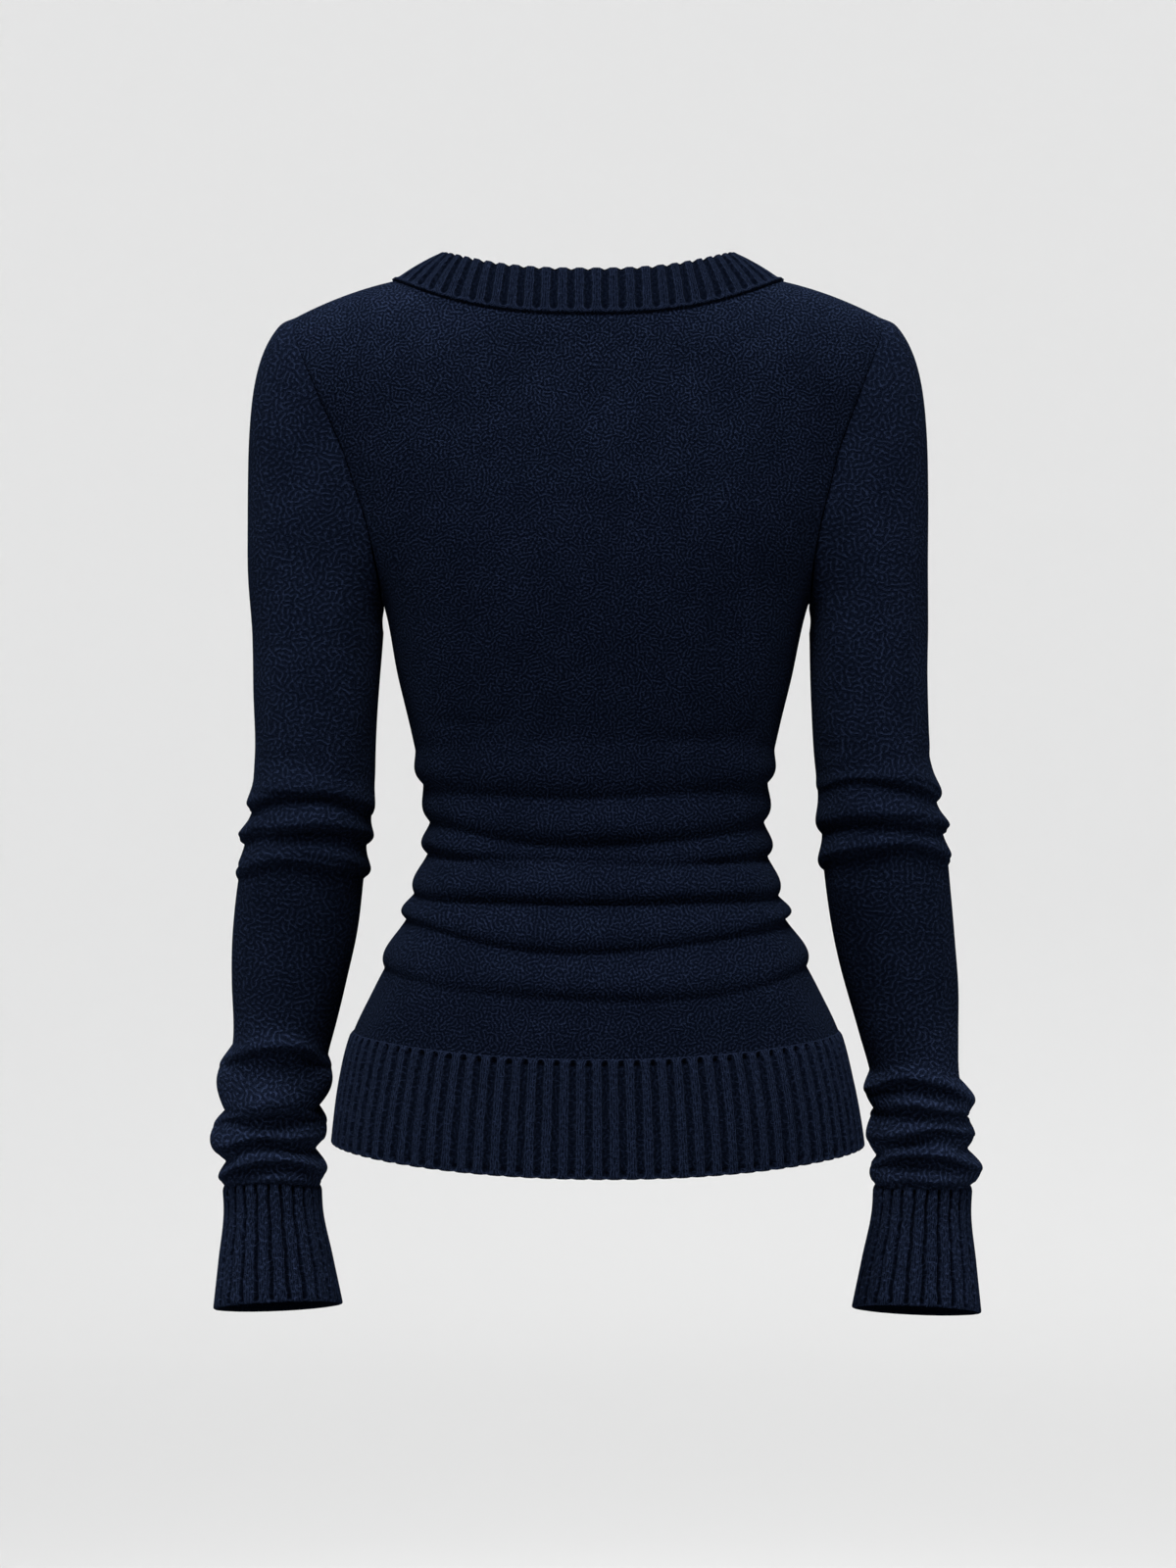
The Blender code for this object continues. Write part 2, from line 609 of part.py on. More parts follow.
def armhole_loop(back, front, hand):
    """The seam line round the armhole: from the underarm up the back, over the tip, down the front."""
    edge = -1 if hand > 0 else 0
    rows = len(ARMHOLE_ROWS) + 1
    back_grid, back_facing = back
    front_grid, front_facing = front
    up = back_grid[-rows - 1 :, edge]
    up_facing = back_facing[-rows - 1 :, edge]
    down = front_grid[-rows - 1 :, 0][::-1]
    down_facing = front_facing[-rows - 1 :, 0][::-1]
    loop = np.concatenate([up, down[1:-1]])
    facing = np.concatenate([up_facing, down_facing[1:-1]])
    loop[[0, rows], 1] = 0
    return loop, facing


def arm_folds(side, turn, height):
    """How far the folds of the elbow and wrist stand out: turn is 0 at the back and a quarter outward."""
    rise = np.zeros(np.broadcast(turn, height).shape)
    for fold in ARM_FOLDS[side]:
        at_front, front = (fold.at_outer + fold.at_inner) / 2, (fold.back + fold.outer + fold.inner) / 3
        line = four_quarters(turn, fold.at_back, fold.at_outer, at_front, fold.at_inner)
        peak = four_quarters(turn, fold.back, fold.outer, front, fold.inner)
        rise += peak * np.exp(-(((height - line) / fold.reach) ** 2))
    return rise


def fan_rings(side, loop, angle):
    """Rings that turn from the armhole's slanting loop to the level first ring of the arm."""
    hand = 1 if side == "left" else -1
    under, tip = loop[0], loop[len(loop) // 2]
    middle = (under + tip) / 2
    axis = unit(tip - middle)
    offset = loop - middle
    loop_axial = offset @ axis / np.linalg.norm(tip - middle)
    loop_bow = offset @ np.cross(axis, [0, 1, 0])
    deepest = np.where(offset[:, 1] >= 0, offset[:, 1].max(), -offset[:, 1].min())
    first = ARM_RINGS[side][0]
    rings = []
    for step, shoulder in enumerate(FAN, start=1):
        share = step / (len(FAN) + 1)
        level = ramp(share, 0, 1)
        start_x = abs(under[0]) + SEAM_GAP
        inner_x = start_x + (first.inner - start_x) * share + FAN_STAND * math.sin(math.pi * share)
        inner = np.array([hand * inner_x, 0, under[2] + (first.height - under[2]) * share])
        outer = np.array([hand * shoulder.x, 0, shoulder.height])
        centre, reach = (outer + inner) / 2, (outer - inner) / 2
        axial = (1 - level) * loop_axial - level * np.cos(angle)
        bow = (1 - level) * loop_bow
        across = (1 - level) * offset[:, 1] / deepest + level * np.sin(angle)
        depth = (1 - level) * deepest + level * first.depth
        ring = centre + axial[:, None] * reach + bow[:, None] * np.cross(unit(reach), [0, 1, 0])
        ring[:, 1] += across * depth
        rings.append(ring)
    return rings


def arm_rings(side, angle):
    """Level rings down the arm, each an oval between its outermost and innermost points."""
    hand = 1 if side == "left" else -1
    rows = ARM_RINGS[side]
    rings = []
    for height in (*ARM_ROWS, *np.linspace(*ELBOW_ROWS), *FOREARM_ROWS, *np.linspace(*WRIST_ROWS)):
        outer, inner, middle, depth = (
            through(height, column(rows, "height"), column(rows, name))
            for name in ("outer", "inner", "middle", "depth")
        )
        x = hand * ((outer + inner) / 2 - (outer - inner) / 2 * np.cos(angle))
        rings.append(points(x, middle + depth * np.sin(angle), height))
    return rings


def sleeve_grid(side, loop, loop_facing):
    """Rings of a sleeve: beside the armhole's loop, through the fan and down the arm, with its folds."""
    hand = 1 if side == "left" else -1
    angle = np.arange(len(loop)) * 2 * math.pi / len(loop)
    grid = np.array(fan_rings(side, loop, angle) + arm_rings(side, angle))
    outward = points(-hand * np.cos(angle), np.sin(angle), 0)
    grid += outward * arm_folds(side, angle - math.pi / 2, grid[..., 2])[..., None]
    start = armhole_start(loop, loop_facing, grid[0])
    return np.concatenate([start[None], grid])


def seam_way(loop, facing):
    """At each point of a loop the direction that leads away from the panel, square to the seam."""
    run = unit(np.roll(loop, -1, axis=0) - np.roll(loop, 1, axis=0))
    way = unit(np.cross(run, facing))
    centre = loop.mean(axis=0)
    inward = np.sum(way * (centre - loop)) > 0
    return way if inward else -way


def armhole_start(loop, facing, ring):
    """The sleeve's first ring: beside the panel at the underarm, past its edge everywhere else."""
    way = seam_way(loop, facing)
    leave = unit(ring - loop)
    past = ramp(np.sum(leave * way, axis=1), *PAST_SEAM)[:, None]
    return loop + SEAM_GAP * unit(past * way + (1 - past) * facing)


def sleeve(side, loop, loop_facing):
    grid = sleeve_grid(side, loop, loop_facing)
    facing = normals(grid, around=True)
    flatten(facing, np.s_[-1, :], 2)
    grid[-1, :, 2] += SEAM_GAP
    inner = grid - WALL * facing
    way = seam_way(loop, loop_facing)
    clear = np.sum((inner[0] - loop) * way, axis=1)
    push = np.clip(SEAM_GAP - clear, 0, None) * (np.sum((grid[1] - loop) * way, axis=1) > 0)
    inner[0] += push[:, None] * way
    return wall(f"sleeve_{side}", grid, inner, closed=True)


def cuff(side):
    """A flared ribbed tube whose lower edge slants down towards the front and the outer side."""
    hand = 1 if side == "left" else -1
    line = CUFF_LINES[side]
    shares, raised = stations(CUFF_RIBS, closed=True)
    angle = shares * 2 * math.pi
    rows = []
    for share in np.linspace(0, 1, CUFF_ROWS):
        radius = through(share, column(CUFF_RINGS, "share"), column(CUFF_RINGS, "radius"))
        x = hand * (line.top_x + (line.bottom_x - line.top_x) * share) + radius * np.cos(angle)
        y = line.top_y + (line.bottom_y - line.top_y) * share + radius * np.sin(angle)
        slant = CUFF_BOTTOM_TILT * np.sin(angle) - hand * line.inner_rise * np.cos(angle)
        z = line.top + (line.bottom - line.top + slant) * share
        rows.append(points(x, y, z))
    base = np.array(rows)
    facing = normals(base, around=True)
    flatten(facing, np.s_[0, :], 2)
    return ribbed(f"cuff_{side}", base, facing, raised, closed=True)


def clear_scene():
    for old in list(bpy.data.objects):
        bpy.data.objects.remove(old, do_unlink=True)
    holder = bpy.data.collections.new("wrap_sweater")
    bpy.context.scene.collection.children.link(holder)


def main():
    clear_scene()
    back = back_panel()
    front_right = front_panel(-1, OVER_HEM_REACH, over_lift)
    front_left = front_panel(1, UNDER_HEM_REACH, None)
    panel("back", *back)
    panel("front_right", *front_right)
    panel("front_left", *front_left)
    sleeve("left", *armhole_loop(back, front_left, 1))
    sleeve("right", *armhole_loop(back, front_right, -1))
    cuff("left")
    cuff("right")
    hem_band("hem_band_back", BACK, HEM_DIP_BACK, None)
    hem_band("hem_band_front", FRONT, HEM_DIP_FRONT, hem_lift)
    back_neck_band(*back)
    front_neck_band("neckband_right", *front_right, -1, over_lift)
    front_neck_band("neckband_left", *front_left, 1, None)


main()
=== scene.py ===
"""Wrap sweater in fine navy wool: its knitted shells, their finishes, a pale studio and the camera.

Every piece is a thin closed shell worked out with numpy on a grid of two parameters, one across the
piece and one down it. The body follows girths taken at named heights, the sleeves follow outer and
inner lines down the arm, and the ribbed bands grow from the edges that they are joined to.
+X is the wearer's left and the front faces -Y. All sizes are in metres.
"""

from __future__ import annotations

import logging
import math
from dataclasses import dataclass, field, replace
from enum import Enum
from typing import Callable, NamedTuple, Sequence

import bpy
import numpy as np
from numpy.typing import NDArray
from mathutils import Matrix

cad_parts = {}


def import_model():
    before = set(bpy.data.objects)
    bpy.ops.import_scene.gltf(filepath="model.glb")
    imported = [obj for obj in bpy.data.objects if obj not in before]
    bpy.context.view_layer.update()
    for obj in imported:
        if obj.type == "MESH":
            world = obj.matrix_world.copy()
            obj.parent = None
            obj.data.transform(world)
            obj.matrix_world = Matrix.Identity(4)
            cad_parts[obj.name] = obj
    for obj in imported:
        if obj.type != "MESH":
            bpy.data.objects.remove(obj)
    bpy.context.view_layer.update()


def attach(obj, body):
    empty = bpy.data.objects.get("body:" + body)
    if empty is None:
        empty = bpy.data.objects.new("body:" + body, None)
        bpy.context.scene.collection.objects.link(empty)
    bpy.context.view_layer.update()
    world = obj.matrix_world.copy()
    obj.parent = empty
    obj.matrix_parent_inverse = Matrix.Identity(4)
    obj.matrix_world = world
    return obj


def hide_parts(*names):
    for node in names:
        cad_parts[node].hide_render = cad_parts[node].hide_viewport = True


Array = NDArray[np.float64]
Lift = Callable[[Array, Array], Array]
Colour = tuple[float, float, float, float]
Socket = bpy.types.NodeSocket

LOG = logging.getLogger("wrap_sweater")

WALL = 0.0022
SEAM_GAP = 0.0001
BAND_GAP = -0.0004  # the neck bands are laid this far over the edges that they hang from
TUCK = 0.0008  # how far the hem bands and cuffs reach up inside the edges that they hang from
# painted shade: the plain inside is painted darker than a channel's floor
INSIDE_PAINTED_SHADE = 1.5  # the plain inside lies deeper in shade than a channel's floor
CLOSE_STEPS = (0.22, 0.55)  # where a grid's extra rows beside an edge lie in its first step
UPWARD = 0.75  # a pattern is laid on from above only where a face looks up by this much more
ARMHOLE_SHOWS = (0.030, 0.085)  # how far below the neck an armhole's seam begins to show, and is full


class Face(Enum):
    """Which half of the body a piece belongs to, as the sign of its Y."""

    BACK = 1
    FRONT = -1


class Side(Enum):
    """The wearer's left or right, as the sign of its X."""

    LEFT = 1
    RIGHT = -1

    @property
    def word(self) -> str:
        """The side's name, as pieces use it."""
        return self.name.lower()


# Curves and grids


def through(x: Array, knots: Sequence[float], values: Sequence[float]) -> Array:
    """A smooth curve through knots: on each span a cubic with the slopes of its neighbours.

    Args:
        x: where the curve is read, kept between the first and last knot.
        knots: places of the known values, in any order.
        values: the known values.

    Returns:
        The curve's value at each x.
    """
    order = np.argsort(knots)
    at, known = np.asarray(knots, float)[order], np.asarray(values, float)[order]
    slopes = np.gradient(known, at)
    x = np.clip(x, at[0], at[-1])
    span = np.clip(np.searchsorted(at, x) - 1, 0, len(at) - 2)
    width = at[span + 1] - at[span]
    t = (x - at[span]) / width
    rise = known[span + 1] - known[span]
    bend = (1 - t) * (slopes[span] * width - rise) - t * (slopes[span + 1] * width - rise)
    return known[span] + t * rise + t * (1 - t) * bend


def ramp(x: Array, start: float, end: float) -> Array:
    """0 before start and 1 after end, with the cubic 3t^2 - 2t^3 between them."""
    t = np.clip((x - start) / (end - start), 0, 1)
    return t * t * (3 - 2 * t)


def unit(vectors: Array) -> Array:
    """Vectors of length one."""
    return vectors / np.maximum(np.linalg.norm(vectors, axis=-1, keepdims=True), 1e-12)


def points(x: Array | float, y: Array | float, z: Array | float) -> Array:
    """Coordinates of one shape gathered into points."""
    return np.stack(np.broadcast_arrays(x, y, z), axis=-1).astype(float)


def column(rows: Sequence[NamedTuple], name: str) -> list[float]:
    """One named column of a table."""
    return [getattr(row, name) for row in rows]


class Knot(NamedTuple):
    """A known value of a curve, and where the curve has it."""

    at: float
    value: float


def curve(x: Array, knots: Sequence[Knot]) -> Array:
    """The smooth curve through a table of knots, read at x."""
    return through(x, column(knots, "at"), column(knots, "value"))


def distances(grid: Array, axis: int = 0) -> Array:
    """How far along an axis of a grid each point lies, summed over the steps before it."""
    steps = np.linalg.norm(np.diff(grid, axis=axis), axis=-1)
    pad = [(0, 0)] * steps.ndim
    pad[axis] = (1, 0)
    return np.pad(np.cumsum(steps, axis=axis), pad)


def along(values: Array, shares: Array, line: Array) -> Array:
    """Values that go with the points of a line, read at the given shares of its length."""
    travelled = distances(line)
    places = travelled / travelled[-1]
    return np.stack([np.interp(shares, places, values[:, i]) for i in range(3)], axis=-1)


def edged(count: int) -> Array:
    """Places from 0 to 1 in count equal steps, with two closer ones beside each end."""
    even = np.linspace(0, 1, count + 1)
    close = even[1] * np.array(CLOSE_STEPS)
    return np.sort(np.concatenate([even, close, 1 - close]))


def normals(grid: Array, around: bool = False) -> Array:
    """Unit normals of a grid, the cross product of its two slopes, turned away from its middle.

    Args:
        grid: rows by columns of points.
        around: whether each row is a closed ring.

    Returns:
        A normal for each point, facing outwards.
    """
    wide = np.concatenate([grid[:, -1:], grid, grid[:, :1]], axis=1) if around else grid
    facing = unit(np.cross(np.gradient(wide, axis=1), np.gradient(wide, axis=0)))
    if around:
        facing = facing[:, 1:-1]
        axis = grid.mean(axis=1, keepdims=True)
    else:
        axis = points(0, 0, grid[..., 2])
    return facing if np.sum(facing * (grid - axis)) > 0 else -facing


def flatten(vectors: Array, index: tuple, axis: int) -> None:
    """Takes one component out of the normals at a seam, so both pieces there end in one plane."""
    vectors[index + (axis,)] = 0
    vectors[index] = unit(vectors[index])


class Sway(NamedTuple):
    """A sine that makes lines wander, and starts further on for each line than for the one before."""

    rate: float
    step: float
    share: float = 1.0

    def at(self, place: Array, number: Array | int) -> Array:
        """How far a line of the given number is off at each place, for a wander of one."""
        return self.share * np.sin(self.rate * place + self.step * number)


FOLD_SWAYS = (Sway(3, 2.1), Sway(5, 4.4, 0.7))
PUFF_SWAY = Sway(4, 1.7)
CHANNEL_SWAYS = (Sway(230, 2.3), Sway(520, 4.1, 0.6))
CREASE_FADE = (-0.08, 0.22)  # shares of its length between which a crease fades in at each end


class Around(NamedTuple):
    """A measure of a tube at its four quarters; a sleeve's left is its outer side."""

    back: float
    left: float
    front: float
    right: float

    def at(self, turn: Array) -> Array:
        """The measure at a turn: a constant, a cosine, a sine and a double cosine of it."""
        back, left, front, right = self
        mean = (back + left + front + right) / 4
        crossed = (back + front - left - right) / 4
        sideways = (left - right) / 2 * np.sin(turn)
        return mean + (back - front) / 2 * np.cos(turn) + sideways + crossed * np.cos(2 * turn)


@dataclass(frozen=True)
class Gathers:
    """Cloth pushed together along a tube: puffs that stand out between lines of creases.

    At a share t of the way from one line to the next, the cloth stands out by the puff's rise
    times a power of sin(pi * t^lean). It swells slowly from above and turns in sharply below. Each
    line wavers by two sines of the turn, and each puff is fuller on some sides than on others.

    Fields:
        lines, puffs: heights of the creases from the top down, and the rise between two of them.
        lean, fullness: how far below its middle a puff is fullest, and the power.
        waver, uneven: how far the lines wander, and by what share a puff's rise changes.
        undercut, shade_width: how far the deepest painted shade lies below a line, and half its height.
        deepest, full_puff: the painted shade's depth under a puff that rises by full_puff or more.
    """

    lines: tuple[Around, ...] = ()
    puffs: tuple[Around, ...] = ()
    lean: float = 1.5
    fullness: float = 0.85
    waver: float = 0.0009
    uneven: float = 0.14
    undercut: float = -0.0002
    shade_width: float = 0.0021
    deepest: float = 0.0
    full_puff: float = 0.0080

    def line(self, number: int, turn: Array) -> Array:
        """A crease's height at each turn: smooth between its four quarters, plus its wander."""
        wander = sum(sway.at(turn, number) for sway in FOLD_SWAYS)
        return self.lines[number].at(turn) + self.waver * wander

    def shade(self, turn: Array, height: Array) -> Array:
        """How much painted shade each point gets under a puff.

        Each line but the first carries a bell whose depth is the root of its puff's share of the
        full one.

        Args:
            turn: angle from the back of the tube.
            height: height of each point.

        Returns:
            The painted shade, 0 in the open and up to about deepest.
        """
        total = np.zeros(np.broadcast(turn, height).shape)
        for number, puff in enumerate(self.puffs):
            fall = height - self.line(number + 1, turn) + self.undercut
            depth = np.sqrt(np.clip(puff.at(turn) / self.full_puff, 0, 1))
            total = total + depth * np.exp(-((fall / self.shade_width) ** 2))
        return self.deepest * total

    def rise(self, turn: Array, height: Array) -> Array:
        """How far the puffs stand out.

        Args:
            turn: angle from the back of the tube.
            height: height of each point.

        Returns:
            The rise at each point.
        """
        total = np.zeros(np.broadcast(turn, height).shape)
        for number, puff in enumerate(self.puffs):
            above, below = self.line(number, turn), self.line(number + 1, turn)
            share = np.clip((above - height) / (above - below), 0, 1)
            swell = np.clip(np.sin(math.pi * share**self.lean), 0, 1) ** self.fullness
            fuller = 1 + self.uneven * PUFF_SWAY.at(turn, number)
            total = total + np.clip(puff.at(turn), 0, None) * fuller * swell
        return total


def folds(kind: Gathers, *rows: tuple[float, ...]) -> Gathers:
    """Folds of a kind, from rows of a line's four heights and the four rises of the puff below it."""
    lines = tuple(Around(*row[:4]) for row in rows)
    return replace(kind, lines=lines, puffs=tuple(Around(*row[4:]) for row in rows[:-1]))


class Crease(NamedTuple):
    """A groove pressed into cloth: it runs from one turn to another, in degrees from the back."""

    start_turn: float
    end_turn: float
    start: float
    middle: float
    end: float
    depth: float
    width: float

    def pressed(self, turn: Array, height: Array) -> Array:
        """How deep the groove is: a bell across a parabola, faded out at both ends."""
        span = math.radians(self.end_turn - self.start_turn)
        t = (turn - math.radians(self.start_turn)) / span
        ends = self.start * (1 - t) * (1 - 2 * t) + self.end * t * (2 * t - 1)
        line = ends + self.middle * 4 * t * (1 - t)
        fade = ramp(t, *CREASE_FADE) * ramp(1 - t, *CREASE_FADE)
        return self.depth * fade * np.exp(-(((height - line) / self.width) ** 2))


class Wave(NamedTuple):
    """One of the slow unevennesses of hand: turns round the tube, turns per metre, start, rise."""

    around: float
    down: float
    start: float
    rise: float


WAVES = (
    Wave(2.0, 31.0, 0.4, 0.00040),
    Wave(3.0, -53.0, 2.1, 0.00028),
    Wave(5.0, 71.0, 4.0, 0.00018),
)


def unevenness(turn: Array, height: Array) -> Array:
    """The sum of a few slow sine waves that run round and down a tube of cloth."""
    return sum(
        wave.rise * np.sin(wave.around * turn + wave.down * height + wave.start) for wave in WAVES
    )


# Shells


@dataclass
class Shell:
    """A closed wall of knit between an outer and a coarser inner grid.

    Fields:
        outer: rows by columns of points of the side that shows.
        inner: the plain side, with a whole number of outer columns to each of its own.
        hollow: painted shade at each point: 0 in the open, 1 on a channel's floor, more in an eyelet.
        away: how far a point is from the middle of the nearest channel, in metres.
        closed: whether each row is a ring.
        laid: the pattern's place across and down the piece, in metres. Without it the pattern is
            laid on squarely from the nearest of three sides.
    """

    name: str
    outer: Array
    inner: Array
    hollow: Array
    away: Array
    closed: bool = False
    laid: Array | None = None

    def numbers(self) -> tuple[Array, Array, Array]:
        """Numbers of the outer and inner grid's places, and the vertex that each place uses."""
        rows, outer_columns = self.outer.shape[:2]
        inner_columns = self.inner.shape[1]
        extra = 1 if self.closed else 0
        outer = np.arange(rows * (outer_columns + extra)).reshape(rows, -1)
        inner = outer.size + np.arange(rows * (inner_columns + extra)).reshape(rows, -1)
        vertex_outer = np.arange(rows * outer_columns).reshape(rows, -1)
        vertex_inner = vertex_outer.size + np.arange(rows * inner_columns).reshape(rows, -1)
        if self.closed:
            vertex_outer = np.concatenate([vertex_outer, vertex_outer[:, :1]], axis=1)
            vertex_inner = np.concatenate([vertex_inner, vertex_inner[:, :1]], axis=1)
        return outer, inner, np.concatenate([vertex_outer.ravel(), vertex_inner.ravel()])

    def rim(self, outer: Array, inner: Array) -> tuple[Array, Array]:
        """Faces that join an outer row to an inner one: a quad to each inner span, and triangles.

        Args:
            outer: the outer row's places, in the order in which the rim's faces run.
            inner: the inner row's places, in the same order.

        Returns:
            The quads and the triangles.
        """
        ratio = (len(outer) - 1) // (len(inner) - 1)
        step = np.arange(len(outer) - 1)
        span, k = step // ratio, step % ratio
        near, far = outer[:-1], outer[1:]
        middle = k == ratio // 2
        quads = np.stack([near, far, inner[span + 1], inner[span]], axis=1)[middle]
        tip = np.where(k < ratio // 2, inner[span], inner[span + 1])
        return quads, np.stack([near, far, tip], axis=1)[~middle]

    def faces(self, outer: Array, inner: Array) -> tuple[Array, Array]:
        """All faces as places: both grids' quads, the rims of the rows and the walls of the sides."""

        def quads(grid: Array) -> Array:
            """The four places round each cell of a grid."""
            around = (grid[:-1, :-1], grid[:-1, 1:], grid[1:, 1:], grid[1:, :-1])
            return np.stack(around, axis=-1).reshape(-1, 4)

        top, top_corners = self.rim(outer[0][::-1], inner[0][::-1])
        bottom, bottom_corners = self.rim(outer[-1], inner[-1])
        found = [quads(outer), quads(inner)[:, ::-1], top, bottom]
        if not self.closed:
            first = (outer[:-1, 0], outer[1:, 0], inner[1:, 0], inner[:-1, 0])
            last = (outer[:-1, -1], inner[:-1, -1], inner[1:, -1], outer[1:, -1])
            found += [np.stack(first, axis=1), np.stack(last, axis=1)]
        return np.concatenate(found), np.concatenate([top_corners, bottom_corners])

    def pattern(self, places: Array) -> Array:
        """The pattern's place at every corner of the faces, read from the places' numbers.

        Args:
            places: the numbers of the corners' places in both grids.

        Returns:
            A pair of metres for each corner.
        """
        inner_columns = self.inner.shape[1] + (1 if self.closed else 0)
        ratio = (self.laid.shape[1] - 1) // (inner_columns - 1)
        both = [self.laid.reshape(-1, 2), self.laid[:, ::ratio].reshape(-1, 2)]
        return np.concatenate(both)[places]

    @staticmethod
    def squarely(spots: Array, quads: Array, corners: Array) -> Array:
        """The pattern's place on faces: the two coordinates that each face looks away from least.

        Args:
            spots: all points.
            quads: the quads as vertices.
            corners: the triangles as vertices.

        Returns:
            A pair of metres for each corner, quads first.
        """
        found = []
        for faces in (quads, corners):
            a, b, c = (spots[faces[:, i]] for i in (0, 1, 2))
            facing = np.abs(unit(np.cross(b - a, c - a))) * [1.0, 1.0, UPWARD]
            kept = np.array([[1, 2], [0, 2], [0, 1]])[np.argmax(facing, axis=1)]
            found.append(np.take_along_axis(spots[faces], kept[:, None, :], axis=2).reshape(-1, 2))
        return np.concatenate(found)

    def build(self, material: bpy.types.Material) -> bpy.types.Object:
        """Puts the shell into a mesh with its pattern map and its attribute of painted shade.

        Args:
            material: the finish that the whole piece takes.

        Returns:
            The piece, linked to the scene with its origin at the frame's origin.
        """
        outer, inner, vertex = self.numbers()
        quads, corners = self.faces(outer, inner)
        spots = np.concatenate([self.outer.reshape(-1, 3), self.inner.reshape(-1, 3)])
        a, b, c, d = (spots[vertex[quads[:, i]]] for i in range(4))
        if np.sum(a * np.cross(b, c)) + np.sum(a * np.cross(c, d)) < 0:
            quads, corners = quads[:, ::-1], corners[:, ::-1]
        places = np.concatenate([quads.ravel(), corners.ravel()])
        starts = np.concatenate([np.arange(len(quads)) * 4, quads.size + np.arange(len(corners)) * 3])
        mesh = bpy.data.meshes.new(self.name)
        mesh.vertices.add(len(spots))
        mesh.vertices.foreach_set("co", spots.astype(np.float32).ravel())
        mesh.loops.add(len(places))
        mesh.loops.foreach_set("vertex_index", vertex[places].astype(np.int32))
        mesh.polygons.add(len(starts))
        mesh.polygons.foreach_set("loop_start", starts.astype(np.int32))
        mesh.update(calc_edges=True)
        mesh.validate()
        cloth = mesh.uv_layers.new(name="cloth")
        if self.laid is None:
            laid = self.squarely(spots, vertex[quads], vertex[corners])
        else:
            laid = self.pattern(places)
        cloth.data.foreach_set("uv", laid.astype(np.float32).ravel())
        count = self.inner.shape[0] * self.inner.shape[1]
        # painted shade goes onto the mesh as a point attribute, darkest on the plain inside
        for name, values, inside in (("hollow", self.hollow, INSIDE_PAINTED_SHADE), ("away", self.away, 0.0)):
            attribute = mesh.attributes.new(name, "FLOAT", "POINT")
            both = np.concatenate([values.ravel(), np.full(count, inside)])
            attribute.data.foreach_set("value", both.astype(np.float32))
        mesh.shade_smooth()
        mesh.materials.append(material)
        piece = bpy.data.objects.new(self.name, mesh)
        bpy.context.scene.collection.objects.link(piece)
        return piece


@dataclass(frozen=True)
class Edges:
    """Which edges of a grid are free and which are sewn, and how each is softened.

    Fields:
        free: edges whose two faces draw together as a quarter circle.
        sewn: edges whose outer face dips a little into the seam.
        reach: how far in from an edge either begins.
        lip: the share of the wall that is left at a free edge.
        dip: how deep the outer face lies at a sewn edge.
    """

    free: tuple[str, ...] = ()
    sewn: tuple[str, ...] = ()
    reach: float = 0.0016
    lip: float = 0.12
    dip: float = 0.00015

    def drawn(self, grid: Array, names: Sequence[str], closed: bool) -> Array:
        """1 at the named edges and 0 past their reach, falling as a quarter circle."""
        down = distances(grid)
        away = {"first_row": down, "last_row": down[-1:] - down}
        if not closed:
            across = distances(grid, 1)
            away |= {"first_column": across, "last_column": across[:, -1:] - across}
        nearest = np.full(grid.shape[:2], self.reach)
        for name in names:
            nearest = np.minimum(nearest, away[name])
        return 1 - np.sqrt(np.clip(1 - (1 - nearest / self.reach) ** 2, 0, 1))

    def soften(self, grid: Array, closed: bool, every: int) -> tuple[Array, Array]:
        """How far the two faces move beside the edges.

        Args:
            grid: the points that the wall is built on.
            closed: whether each row is a ring.
            every: how many outer columns go to an inner one.

        Returns:
            What the outer face sinks by, and what the inner face rises by.
        """
        half = WALL / 2 * (1 - self.lip) * self.drawn(grid, self.free, closed)
        seams = self.dip * self.drawn(grid, self.sewn, closed)
        return np.maximum(half, seams), half[:, ::every]


# The body


class Girth(NamedTuple):
    """The body's section at a height: half its width, its depths behind and in front, and its shift."""

    height: float
    half_width: float
    back: float
    front: float
    shift: float


